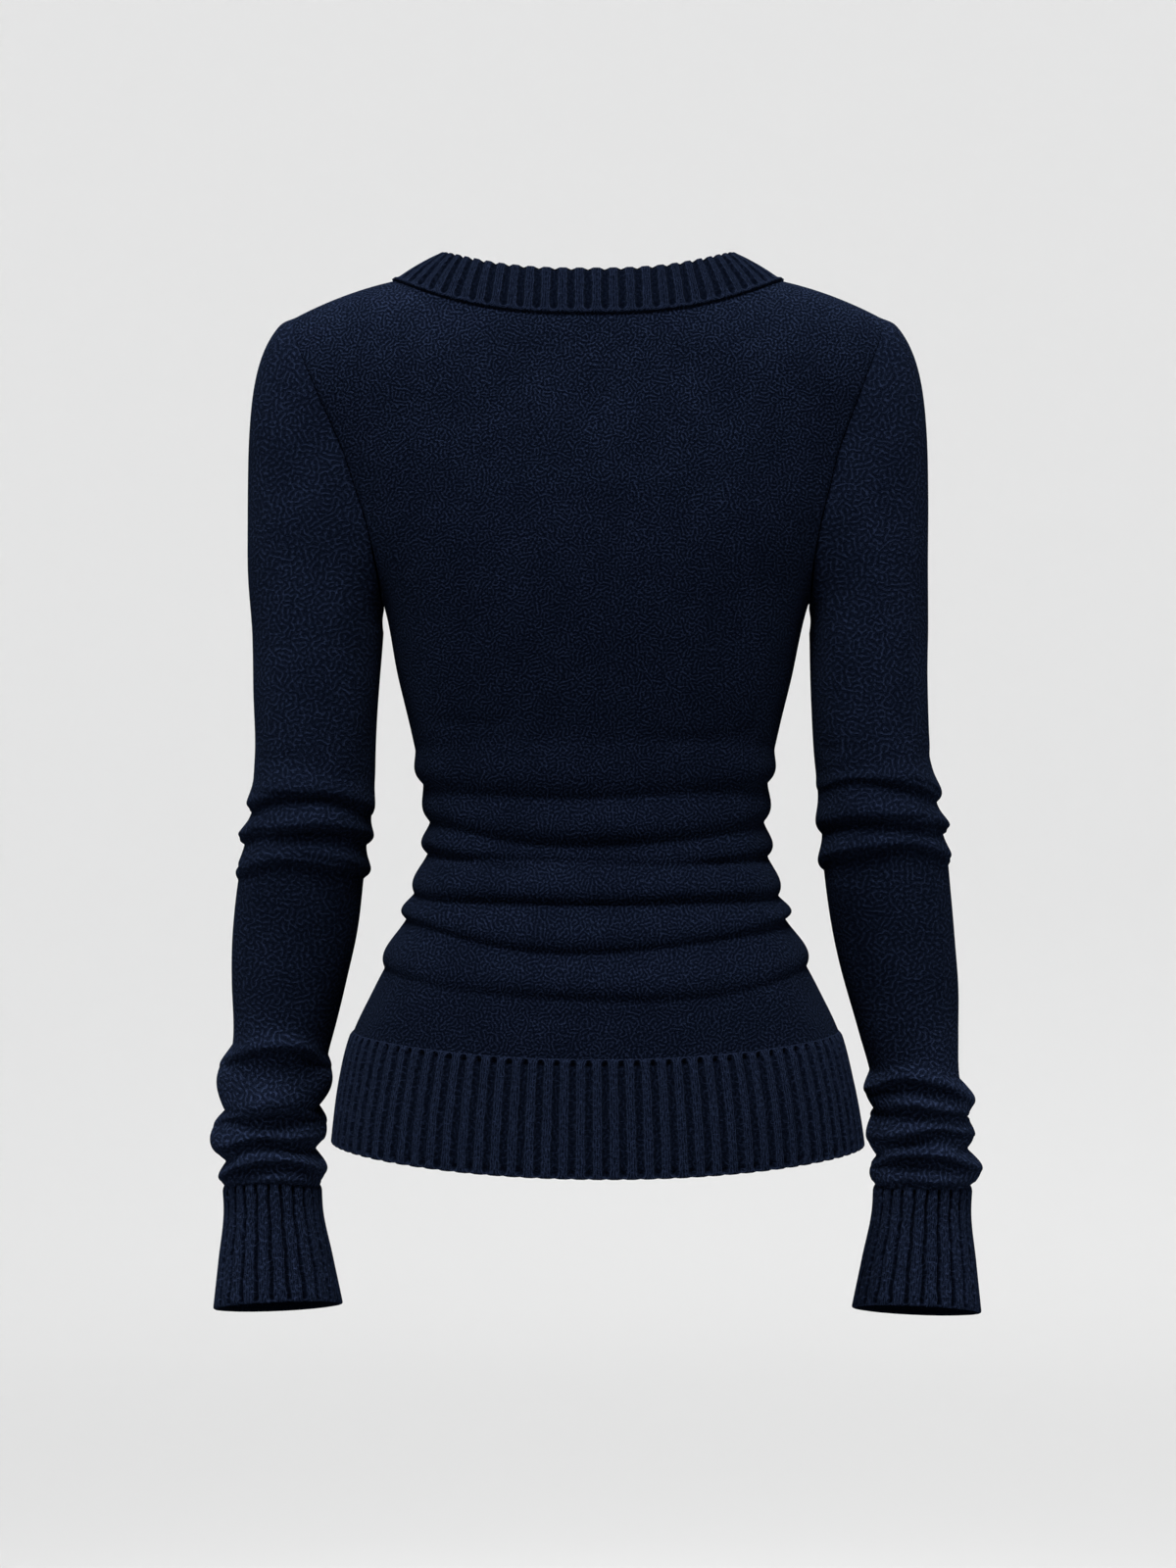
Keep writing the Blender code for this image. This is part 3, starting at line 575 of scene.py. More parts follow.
@dataclass(frozen=True)
class BodyForm:
    """The cloth of the body, from which every panel and band is cut.

    The back neckline dips by its drop, along a curve that is flatter for a larger power. The hem's
    edge rises to the left by its tilt, and dips at the middle by hem_edge_dip times the seam's own
    dip, which hem_dips gives for each half. The cloth's waves grow over waves_from below the neck.
    Armhole gives how far from the middle its edge lies, by height, and armhole_steps the heights
    of the rows along it.
    """

    neck_point: float = 0.123
    neck_point_height: float = -0.0006
    back_neck_drop: float = 0.0287
    back_neck_curve: float = 2.6
    shoulder_tip: float = 0.184
    shoulder_fall: float = 0.22
    shoulder_curve: float = 2.4
    shoulder_round: float = 0.065
    armpit: float = -0.205
    section_power: float = 2.3
    hem_seam: float = -0.474
    hem_edge: float = -0.5445
    hem_edge_tilt: float = 0.0011
    hem_edge_dip: float = 1.1
    hem_dips: dict[Face, float] = field(
        default_factory=lambda: {Face.BACK: 0.010, Face.FRONT: 0.006}
    )
    waves_from: tuple[float, float] = (0.0, 0.10)
    girths: tuple[Girth, ...] = (
        Girth(0.000, 0.2250, 0.066, 0.074, 0.0000),
        Girth(-0.024, 0.2150, 0.070, 0.078, 0.0000),
        Girth(-0.060, 0.1960, 0.076, 0.088, 0.0000),
        Girth(-0.110, 0.1720, 0.082, 0.102, -0.0015),
        Girth(-0.160, 0.1530, 0.086, 0.112, -0.0035),
        Girth(-0.205, 0.1342, 0.086, 0.114, -0.0047),
        Girth(-0.252, 0.1237, 0.081, 0.106, -0.0047),
        Girth(-0.282, 0.1163, 0.076, 0.098, -0.0042),
        Girth(-0.312, 0.1100, 0.071, 0.090, -0.0042),
        Girth(-0.334, 0.1060, 0.069, 0.086, -0.0052),
        Girth(-0.356, 0.1068, 0.070, 0.084, -0.0060),
        Girth(-0.386, 0.1145, 0.079, 0.088, -0.0052),
        Girth(-0.416, 0.1245, 0.091, 0.094, -0.0050),
        Girth(-0.446, 0.1395, 0.102, 0.100, -0.0048),
        Girth(-0.476, 0.1535, 0.109, 0.105, -0.0052),
        Girth(-0.505, 0.1610, 0.111, 0.107, -0.0055),
        Girth(-0.543, 0.1672, 0.112, 0.109, -0.0056),
        Girth(-0.560, 0.1690, 0.112, 0.109, -0.0056),
    )
    armhole: tuple[Knot, ...] = (
        Knot(-0.205, 0.1342),
        Knot(-0.191, 0.1352),
        Knot(-0.169, 0.1385),
        Knot(-0.150, 0.1427),
        Knot(-0.130, 0.1485),
        Knot(-0.111, 0.1540),
        Knot(-0.094, 0.1606),
        Knot(-0.070, 0.1703),
        Knot(-0.050, 0.1785),
        Knot(-0.037, 0.1835),
        Knot(-0.022, 0.1840),
    )
    armhole_steps: tuple[float, ...] = (
        -0.205, -0.199, -0.184, -0.160, -0.130, -0.098, -0.068, -0.043, -0.0285,
    )
    gathers: Gathers = folds(
        Gathers(),
        (-0.2893, -0.2963, -0.2932, -0.2963, 0.0030, 0.0034, 0.0040, 0.0034),
        (-0.3270, -0.3176, -0.3190, -0.3160, 0.0054, 0.0036, 0.0048, 0.0040),
        (-0.3550, -0.3416, -0.3470, -0.3416, 0.0008, 0.0054, 0.0035, 0.0048),
        (-0.3664, -0.3614, -0.3626, -0.3640, 0.0070, 0.0046, 0.0046, 0.0046),
        (-0.3920, -0.3868, -0.3880, -0.3870, 0.0056, 0.0050, 0.0054, 0.0054),
        (-0.4200, -0.4023, -0.4130, -0.4023, 0.0052, 0.0052, 0.0050, 0.0056),
        (-0.4490, -0.4327, -0.4420, -0.4330),
    )
    creases: tuple[Crease, ...] = (
        Crease(80, 18, -0.3560, -0.3665, -0.3715, 0.0020, 0.0030),
        Crease(-88, -30, -0.3640, -0.3665, -0.3670, 0.0016, 0.0030),
        Crease(-30, 24, -0.4560, -0.4600, -0.4575, 0.0007, 0.0040),
        Crease(-60, -15, -0.2840, -0.2900, -0.2885, 0.0008, 0.0050),
        Crease(20, 66, -0.2780, -0.2815, -0.2750, 0.0007, 0.0048),
        Crease(110, 150, -0.3300, -0.3320, -0.3290, 0.0010, 0.0034),
        Crease(200, 250, -0.3990, -0.4020, -0.3980, 0.0010, 0.0036),
        Crease(130, 190, -0.4290, -0.4310, -0.4280, 0.0009, 0.0036),
    )

    def girth(self, name: str, height: Array) -> Array:
        """One measure of the body's section at a height, smooth between the table's rows."""
        return through(height, column(self.girths, "height"), column(self.girths, name))

    def shoulder_height(self, x: Array) -> Array:
        """The shoulder seam's height: a line that falls from the neck point, less a parabola."""
        out = np.abs(x) - self.neck_point
        bend = self.shoulder_curve * np.clip(out, 0, None) ** 2
        return self.neck_point_height - self.shoulder_fall * out - bend

    def armhole_reach(self, height: Array) -> Array:
        """How far from the middle the armhole's edge lies."""
        return curve(height, self.armhole)

    def armhole_height(self, share: Array) -> Array:
        """Height of the armhole's edge at a share of the way from the underarm to the shoulder."""
        tip = float(self.shoulder_height(np.array(self.shoulder_tip)))
        steps = [*self.armhole_steps, tip]
        return through(share, np.linspace(0, 1, len(steps)), steps)

    def seam_height(self, across: Array, face: Face) -> Array:
        """The hem seam's height: a parabola that dips at the middle."""
        return self.hem_seam - self.hem_dips[face] * (1 - across**2)

    def rise(self, turn: Array, height: Array) -> Array:
        """How far folds stand out: the sum of the puffs and waves, less the creases.

        Args:
            turn: angle round the body from the back's middle, towards the left.
            height: height of each point.

        Returns:
            The rise along the cloth's own outward direction.
        """
        total = unevenness(turn, height) * ramp(-height, *self.waves_from)
        total = total + self.gathers.rise(turn, height)
        for crease in self.creases:
            total = total - crease.pressed(turn, height)
            if crease.end_turn > 180:
                total = total - crease.pressed(turn + 2 * math.pi, height)
        return total

    def cloth(self, x: Array, height: Array, face: Face, lift: Lift | None = None) -> Array:
        """Points of the body's cloth.

        The section is a superellipse: x over the half width and y over the depth, each to the
        section's power, add up to one. Near the shoulder its depth closes as a quarter circle.
        Folds and the lift of a front that lies over move each point along its outward normal.

        Args:
            x: distance from the section's middle, to the left.
            height: height of each point.
            face: the back or the front half.
            lift: how far an upper layer stands off, by its place round the half and its height.

        Returns:
            The points.
        """
        power = self.section_power
        half_width = self.girth("half_width", height)
        across = np.clip(x / half_width, -1, 1)
        depth = self.girth(face.name.lower(), height)
        below = np.clip((self.shoulder_height(x) - height) / self.shoulder_round, 0, 1)
        swell = (1 - np.abs(across) ** power) ** (1 / power)
        quarter = np.arcsin(across) / (math.pi / 2)
        turn = np.arcsin(across) if face is Face.BACK else math.pi - np.arcsin(across)
        outward = unit(
            points(
                np.sign(across) * np.abs(across) ** (power - 1) / half_width,
                face.value * swell ** (power - 1) / depth,
                0,
            )
        )
        rise = self.rise(turn, height)
        if lift is not None:
            rise = rise + lift(quarter, height)
        closing = np.sqrt(1 - (1 - below) ** 2)
        place = points(x + self.girth("shift", height), face.value * depth * swell * closing, height)
        return place + outward * rise[..., None]


@dataclass(frozen=True)
class Wrap:
    """How the fronts cross: each one's reach past the middle, and the lift of the one that is over.

    The lift grows over a share of the half from a side seam, and between two heights.
    """

    over_reach: float = 0.105
    under_reach: float = 0.085
    lift: float = 0.0055
    lift_turn: float = 0.35
    lift_start: float = -0.060
    lift_full: float = -0.150

    def over(self, quarter: Array, height: Array) -> Array:
        """The over front's lift: it grows from its own side seam, and from the shoulder down."""
        grown = ramp(1 + quarter, 0, self.lift_turn)
        return self.lift * grown * ramp(-height, -self.lift_start, -self.lift_full)

    def hem(self, quarter: Array, height: Array) -> Array:
        """The hem band's lift: the over front's, down again at the left side seam."""
        return self.over(quarter, height) * ramp(1 - quarter, 0, self.lift_turn)


# Finishes

FIBRE_SIZE = 0.0007
FIBRE_DETAIL = 1.0


class Tone(NamedTuple):
    """How strongly strands show at two heights, with a smooth step between them; where the two differ it
    is painted light.
    """

    low: float
    high: float
    at_low: float
    at_high: float


class Blobs(NamedTuple):
    """A noise in blobs of one size, carried with a smooth step from two of its levels to a range."""

    size: float
    low: float
    high: float
    start: float
    end: float
    detail: float = 0.0


class Graph:
    """A material's node tree, built node by node."""

    def __init__(self, name: str) -> None:
        """Starts a material that holds one Principled shader and its output."""
        self.material = bpy.data.materials.new(name)
        self.material.use_nodes = True
        self.tree = self.material.node_tree
        self.shader = self.tree.nodes["Principled BSDF"]

    def node(self, kind: str, inputs: dict | None = None, **settings: object) -> bpy.types.Node:
        """Adds a node.

        Args:
            kind: the node's type without its prefix, such as "TexNoise".
            inputs: for each input's name or number a value, or an output that is joined to it.
            settings: the node's own properties.

        Returns:
            The node.
        """
        made = self.tree.nodes.new(f"ShaderNode{kind}")
        for name, value in settings.items():
            setattr(made, name, value)
        for name, value in (inputs or {}).items():
            if isinstance(value, Socket):
                self.tree.links.new(value, made.inputs[name])
            else:
                made.inputs[name].default_value = value
        return made

    def math(self, operation: str, *values: object, clamp: bool = False) -> Socket:
        """The output of a Math node with the given operands."""
        made = self.node("Math", dict(enumerate(values)), operation=operation, use_clamp=clamp)
        return made.outputs[0]

    def vector(self, operation: str, *values: object) -> Socket:
        """The vector that a Vector Math node gives for the given operands."""
        made = self.node("VectorMath", dict(enumerate(values)), operation=operation)
        return made.outputs["Vector"]

    def noise(self, place: Socket, size: float, detail: float = 0.0) -> Socket:
        """A flat noise whose blobs are about the given size in metres."""
        inputs = {"Vector": place, "Scale": 1 / size, "Detail": detail}
        return self.node("TexNoise", inputs, noise_dimensions="2D").outputs["Fac"]

    def drift(self, place: Socket, size: float) -> Socket:
        """A vector that wanders between -0.5 and 0.5 each way, in blobs of the given size."""
        inputs = {"Vector": place, "Scale": 1 / size, "Detail": 0.0}
        noise = self.node("TexNoise", inputs, noise_dimensions="2D")
        return self.vector("SUBTRACT", noise.outputs["Color"], (0.5, 0.5, 0.5))

    def strands(self, place: Socket, spacing: float, periods: float) -> Socket:
        """Strands that fork and curl the given metres apart: the phase of a noise of one wavelength.

        Args:
            place: where it is read.
            spacing: the wavelength.
            periods: how many wavelengths a strand keeps its way for.

        Returns:
            1 along the middle of each strand, falling evenly to 0 halfway to the next.
        """
        inputs = {"Vector": place, "Scale": 1 / (spacing * periods), "Frequency": periods}
        noise = self.node("TexGabor", {**inputs, "Anisotropy": 0.0}, gabor_type="2D")
        phase = noise.outputs["Phase"]
        return self.math("MULTIPLY", self.math("PINGPONG", phase, 0.5), 2.0)

    def cloth(self) -> Socket:
        """The piece's pattern map."""
        return self.node("UVMap", uv_map="cloth").outputs["UV"]

    def attribute(self, name: str) -> Socket:
        """One of the numbers that a piece carries at its points."""
        return self.node("Attribute", attribute_name=name).outputs["Fac"]

    def blobs(self, place: Socket, blobs: Blobs) -> Socket:
        """A noise in blobs, carried to a range."""
        noise = self.noise(place, blobs.size, blobs.detail)
        return self.smooth(noise, blobs.low, blobs.high, blobs.start, blobs.end)

    def toned(self, share: Socket, tone: Tone, shade: float) -> Socket:
        """A share of light strands, scaled by height as tone and painted light, and made less by painted
        shade.

        Args:
            share: the share that the pattern gives.
            tone: how strongly it shows at two heights, a difference between them being painted light.
            shade: how much less of it shows where the painted shade is one.

        Returns:
            The share, from 0 to 1.
        """
        place = self.node("TexCoord").outputs["Object"]
        height = self.node("SeparateXYZ", {"Vector": place}).outputs["Z"]
        # painted shade: the piece's hollow attribute takes light strands away
        shaded = self.math("MULTIPLY", self.attribute("hollow"), shade)
        open_to_light = self.math("SUBTRACT", 1.0, shaded, clamp=True)
        # painted light by height, times what the painted shade leaves
        strength = self.math("MULTIPLY", self.smooth(height, *tone), open_to_light)
        return self.math("MULTIPLY", share, strength, clamp=True)

    def mix(self, share: object, first: object, second: object) -> Socket:
        """A colour between two, by the share of the second."""
        made = self.node("Mix", {0: share, 6: first, 7: second}, data_type="RGBA")
        return made.outputs[2]

    def smooth(
        self, value: object, low: float, high: float, start: float = 0.0, end: float = 1.0
    ) -> Socket:
        """A value carried from one range to another with a smooth step."""
        inputs = {"Value": value, "From Min": low, "From Max": high, "To Min": start, "To Max": end}
        return self.node("MapRange", inputs, interpolation_type="SMOOTHSTEP").outputs["Result"]

    def product(self, first: object, *others: object) -> Socket:
        """All the values multiplied."""
        for other in others:
            first = self.math("MULTIPLY", first, other)
        return first


@dataclass(frozen=True)
class Yarn:
    """Navy wool yarn: its colours between the strands and on them, and its matte, fuzzy surface; painted
    shade leans to the dark one.
    """

    deep: Colour = (0.0004, 0.0007, 0.0018, 1.0)
    strand: Colour = (0.0076, 0.0115, 0.0252, 1.0)
    roughness: float = 0.90
    specular: float = 0.0
    sheen: float = 0.006
    sheen_roughness: float = 0.50
    sheen_tint: Colour = (0.35, 0.50, 0.80, 1.0)

    def colour(self, graph: Graph, share: Socket) -> Socket:
        """The yarn's colour where the given share of it is a light strand."""
        return graph.mix(share, self.deep, self.strand)

    def dress(self, graph: Graph, colour: Socket, height: Socket, relief: float) -> None:
        """Joins a colour and a height map to the shader, whose constants are the yarn's.

        Args:
            graph: the material's tree.
            colour: the output that carries the colour.
            height: the output that carries the height, from 0 to about 1.
            relief: how far a height of one stands out.
        """
        inputs = graph.shader.inputs
        graph.tree.links.new(colour, inputs["Base Color"])
        bump = graph.node("Bump", {"Strength": 1.0, "Distance": relief, "Height": height})
        graph.tree.links.new(bump.outputs["Normal"], inputs["Normal"])
        inputs["Roughness"].default_value = self.roughness
        inputs["Specular IOR Level"].default_value = self.specular
        inputs["Sheen Weight"].default_value = self.sheen
        inputs["Sheen Roughness"].default_value = self.sheen_roughness
        inputs["Sheen Tint"].default_value = self.sheen_tint


@dataclass(frozen=True)
class FineKnit:
    """Plain knit felted by washing: thin strands that fork and curl over a darker ground.

    The strands are the crests of a noise of one wavelength. They fade in and out along their way.

    Fields:
        periods: how many spacings a strand keeps its way for.
        thin: how high on its crest a strand begins.
        crest, ground: how light a strand's middle is, and the ground midway and beside a strand.
        bend, bend_size: the range over which strands drift, and in blobs of what size.
        breaks, clouds: where strands fade, and where the whole knit is paler or darker.
        raised: how high on its crest a strand's relief begins, and how high it gets.
        shade: how much less light shows where the painted shade is one.
    """

    name: str
    yarn: Yarn = Yarn()
    spacing: float = 0.0024
    periods: float = 1.9
    thin: float = 0.54
    crest: float = 0.72
    ground: tuple[float, float] = (-0.18, 0.01)
    bend: float = 0.0014
    bend_size: float = 0.0050
    breaks: Blobs = Blobs(0.0030, 0.36, 0.56, 0.50, 1.0)
    clouds: Blobs = Blobs(0.030, 0.30, 0.70, 0.85, 1.12, detail=3.0)
    fuzz: float = 0.40
    raised: tuple[float, float] = (0.30, 0.80)
    relief: float = 0.0006
    shade: float = 0.62
    tone: Tone = Tone(-0.30, -0.10, 1.0, 1.0)

    def material(self) -> bpy.types.Material:
        """Builds the material."""
        graph = Graph(self.name)
        cloth = graph.cloth()
        drift = graph.vector("MULTIPLY", graph.drift(cloth, self.bend_size), (self.bend, self.bend, 0.0))
        crests = graph.strands(graph.vector("ADD", cloth, drift), self.spacing, self.periods)
        breaks = graph.blobs(cloth, self.breaks)
        shown = graph.product(graph.smooth(crests, self.thin, 1.0, 0.0, self.crest), breaks)
        ground = graph.smooth(crests, 0.0, self.thin, *self.ground)
        fibre = graph.noise(cloth, FIBRE_SIZE, FIBRE_DETAIL)
        light = graph.math("ADD", shown, graph.math("MULTIPLY_ADD", fibre, self.fuzz, ground))
        clouded = graph.product(light, graph.blobs(cloth, self.clouds))
        colour = self.yarn.colour(graph, graph.toned(clouded, self.tone, self.shade))
        start, end = self.raised
        height = graph.math("MULTIPLY_ADD", graph.smooth(crests, start, 1.0, 0.0, end), breaks, fibre)
        self.yarn.dress(graph, colour, height, self.relief)
        return graph.material


@dataclass(frozen=True)
class RibKnit:
    """Ribs in the same yarn: columns and courses of stitches, under a few curls of strands.

    The columns are level lines of the distance from the nearest channel, so they loop round its
    ends. The courses climb over each rib as parabolas of the distance from its middle.

    Fields:
        bank, half_rib: how far from a channel's middle its bank's top and the rib's middle lie.
        wale, line, column: a column's width, its line's half width in columns, how light it is.
        bold, bold_half: how light the line at the top of the bank is, and half its width.
        course, arc_half, arc: for the arcs what wale, line and column are for columns.
        arch: how steeply an arc climbs, in metres for each square metre.
        sway, wander, bend: ranges over which the distance, the arcs (in courses) and curls drift.
        kept, breaks: where arcs are kept, and where all stitches fade.
        drawn_out: the share that is left of a step down the piece when curls are read.
    """

    name: str
    yarn: Yarn = Yarn()
    bank: float = 0.0024
    half_rib: float = 0.0047
    sway: float = 0.0008
    wale: float = 0.0014
    column: float = 0.85
    line: float = 0.32
    bold: float = 0.40
    bold_half: float = 0.0007
    course: float = 0.0060
    arch: float = 240.0
    arc: float = 0.75
    arc_half: float = 0.11
    wander: float = 2.6
    wander_size: float = 0.0070
    kept: Blobs = Blobs(0.0045, 0.42, 0.54, 0.0, 1.0)
    curl: float = 0.40
    spacing: float = 0.0022
    periods: float = 1.5
    thin: float = 0.52
    drawn_out: float = 0.60
    bend: tuple[float, float] = (0.0012, 0.0018)
    bend_size: float = 0.0034
    breaks: Blobs = Blobs(0.0026, 0.36, 0.56, 0.45, 1.0)
    ground: tuple[float, float] = (-0.14, 0.02)
    fuzz: float = 0.42
    fibre_height: float = 0.5
    relief: float = 0.0008
    # how much less light shows where the painted shade is one
    shade: float = 0.45
    tone: Tone = Tone(-0.30, -0.10, 1.0, 1.0)

    def columns(self, graph: Graph, away: Socket) -> Socket:
        """Light lines between the columns of a rib, from the bolder one at its bank inwards."""
        from_bank = graph.math("SUBTRACT", away, self.bank)
        wale = graph.math("PINGPONG", graph.math("DIVIDE", from_bank, self.wale), 0.5)
        on_rib = graph.smooth(away, self.bank * 0.65, self.bank, 0.0, self.column)
        fine = graph.product(graph.smooth(wale, 0.0, self.line, 1.0, 0.0), on_rib)
        off = graph.math("ABSOLUTE", from_bank)
        return graph.math("MAXIMUM", fine, graph.smooth(off, 0.0, self.bold_half, self.bold, 0.0))

    def courses(self, graph: Graph, away: Socket, cloth: Socket) -> Socket:
        """Light arcs over the ribs, some of them left out.

        Args:
            graph: the material's tree.
            away: distance from the nearest channel.
            cloth: the piece's pattern map.

        Returns:
            How light the arcs are.
        """
        down = graph.node("SeparateXYZ", {"Vector": cloth}).outputs["Y"]
        off = graph.math("SUBTRACT", self.half_rib, away)
        level = graph.math("SUBTRACT", down, graph.product(off, off, self.arch))
        drift = graph.product(graph.noise(cloth, self.wander_size), self.wander)
        turn = graph.math("PINGPONG", graph.math("MULTIPLY_ADD", level, 1 / self.course, drift), 0.5)
        on_rib = graph.smooth(away, self.bank * 0.6, self.bank, 0.0, self.arc)
        arcs = graph.smooth(turn, 0.0, self.arc_half, 1.0, 0.0)
        return graph.product(arcs, graph.blobs(cloth, self.kept), on_rib)

    def material(self) -> bpy.types.Material:
        """Builds the material."""
        graph = Graph(self.name)
        cloth = graph.cloth()
        drift = graph.drift(cloth, self.bend_size)
        place = graph.vector("ADD", cloth, graph.vector("MULTIPLY", drift, (*self.bend, 0.0)))
        sideways = graph.node("SeparateXYZ", {"Vector": drift}).outputs["X"]
        away = graph.math("MULTIPLY_ADD", sideways, self.sway, graph.attribute("away"))
        stretched = graph.vector("MULTIPLY", place, (1.0, self.drawn_out, 0.0))
        crests = graph.strands(stretched, self.spacing, self.periods)
        curls = graph.smooth(crests, self.thin, 1.0, 0.0, self.curl)
        stitches = graph.math("MAXIMUM", self.columns(graph, away), self.courses(graph, away, cloth))
        shown = graph.product(graph.math("MAXIMUM", curls, stitches), graph.blobs(cloth, self.breaks))
        ground = graph.smooth(crests, 0.0, 0.5, *self.ground)
        fibre = graph.noise(cloth, FIBRE_SIZE, FIBRE_DETAIL)
        light = graph.math("ADD", shown, graph.math("MULTIPLY_ADD", fibre, self.fuzz, ground))
        colour = self.yarn.colour(graph, graph.toned(light, self.tone, self.shade))
        height = graph.math("MULTIPLY_ADD", fibre, self.fibre_height, shown)
        self.yarn.dress(graph, colour, height, self.relief)
        return graph.material


# shade: how much each rib knit's painted shade darkens its channels and eyelets
NECK_KNIT = RibKnit("neck", bold=0.85, curl=0.35, shade=0.52, tone=Tone(-0.30, -0.10, 0.46, 0.50))
HEM_KNIT = RibKnit("hem", curl=0.45, shade=0.42, tone=Tone(-0.60, -0.50, 0.75, 0.75))
CUFF_KNIT = RibKnit(
    "cuff",
    bold=0.35,
    column=0.60,
    curl=0.75,
    spacing=0.0028,
    shade=0.80,
    tone=Tone(-0.66, -0.58, 0.85, 0.85),
)
# painted light: the upper body is paler, as if more light fell on it from above
BODY_KNIT = FineKnit("body", tone=Tone(-0.20, -0.06, 0.475, 0.665))
# partly bolder curls towards the wrists, partly painted light that makes the wrists paler
SLEEVE_KNIT = FineKnit(
    "sleeve",
    spacing=0.0033,
    thin=0.66,
    crest=0.60,
    ground=(-0.10, 0.05),
    tone=Tone(-0.52, -0.44, 1.45, 0.69),
)


@dataclass(frozen=True)
class PlainStage:
    """Pale matte paper, faintly mottled and lit from behind, and paler the further out it lies."""

    name: str = "pale_paper"
    middle: Colour = (0.440, 0.439, 0.438, 1.0)
    outside: Colour = (0.865, 0.862, 0.860, 1.0)
    pales: tuple[float, float] = (1.6, 5.4)
    mottle: float = 0.02
    cloud_scale: float = 1.2
    cloud_detail: float = 2.0
    glow: float = 0.096
    roughness: float = 0.95
    specular: float = 0.1

    def material(self) -> bpy.types.Material:
        """Builds the material."""
        graph = Graph(self.name)
        place = graph.node("TexCoord").outputs["Object"]
        level = graph.vector("MULTIPLY", place, (1.0, 1.0, 0.0))
        radius = graph.node("VectorMath", {0: level}, operation="LENGTH").outputs["Value"]
        clouds = {"Vector": place, "Scale": self.cloud_scale, "Detail": self.cloud_detail}
        cloud = graph.node("TexNoise", clouds).outputs["Fac"]
        share = graph.smooth(radius, *self.pales)
        share = graph.math("MULTIPLY_ADD", cloud, self.mottle, share, clamp=True)
        inputs = graph.shader.inputs
        graph.tree.links.new(graph.mix(share, self.middle, self.outside), inputs["Base Color"])
        inputs["Emission Color"].default_value = (1.0, 1.0, 1.0, 1.0)
        inputs["Emission Strength"].default_value = self.glow
        inputs["Roughness"].default_value = self.roughness
        inputs["Specular IOR Level"].default_value = self.specular
        return graph.material


# Knitted pieces


class Cut(NamedTuple):
    """The size that a plain piece is knitted to before it is joined, and its flat area."""

    width: float
    length: float
    area: float

    @property
    def flat(self) -> tuple[float, float]:
        """Its width and length."""
        return self.width, self.length


BACK_CUT = Cut(0.425, 0.470, 0.152)
FRONT_CUT = Cut(0.330, 0.480, 0.0825)
SLEEVE_CUT = Cut(0.300, 0.570, 0.118)


def plain_side(inner: Array, facing: Array, risen: Array, every: int) -> Array:
    """A wall's plain side on some of its columns only, risen again beside its free edges."""
    return inner[:, ::every] + facing[:, ::every] * risen[..., None]


@dataclass
class Panel:
    """A plain panel: its points in rows from the hem seam up, their normals and its cut.

    Beside an armhole's seam the panel is raised as a ridge, from the first row above the underarm.
    """

    name: str
    grid: Array
    facing: Array
    cut: Cut
    armhole_columns: tuple[int, ...]
    armpit_row: int
    inner_every: int = 4
    ridge: float = 0.0006
    ridge_at: float = 0.0030
    ridge_width: float = 0.0016
    edges: Edges = Edges(sewn=("first_row", "last_row", "first_column", "last_column"))

    def seam_relief(self) -> Array:
        """The ridge that a sewn armhole raises in the panel: a bell beside its edge."""
        across = distances(self.grid, 1)
        relief = np.zeros(across.shape)
        rows = np.arange(len(self.grid))[:, None] >= self.armpit_row
        for edge in self.armhole_columns:
            away = np.abs(across - across[:, edge : edge + 1 or None])
            relief += rows * self.ridge * np.exp(-(((away - self.ridge_at) / self.ridge_width) ** 2))
        return relief * ramp(-self.grid[..., 2], *ARMHOLE_SHOWS)

    def shell(self) -> Shell:
        """The panel as a wall, with its seams' relief and softly rounded edges."""
        sunk, risen = self.edges.soften(self.grid, False, self.inner_every)
        outer = self.grid + self.facing * (self.seam_relief() - sunk)[..., None]
        inner = plain_side(self.grid - WALL * self.facing, self.facing, risen, self.inner_every)
        plain = np.zeros(sunk.shape)
        return Shell(self.name, outer, inner, plain, plain)


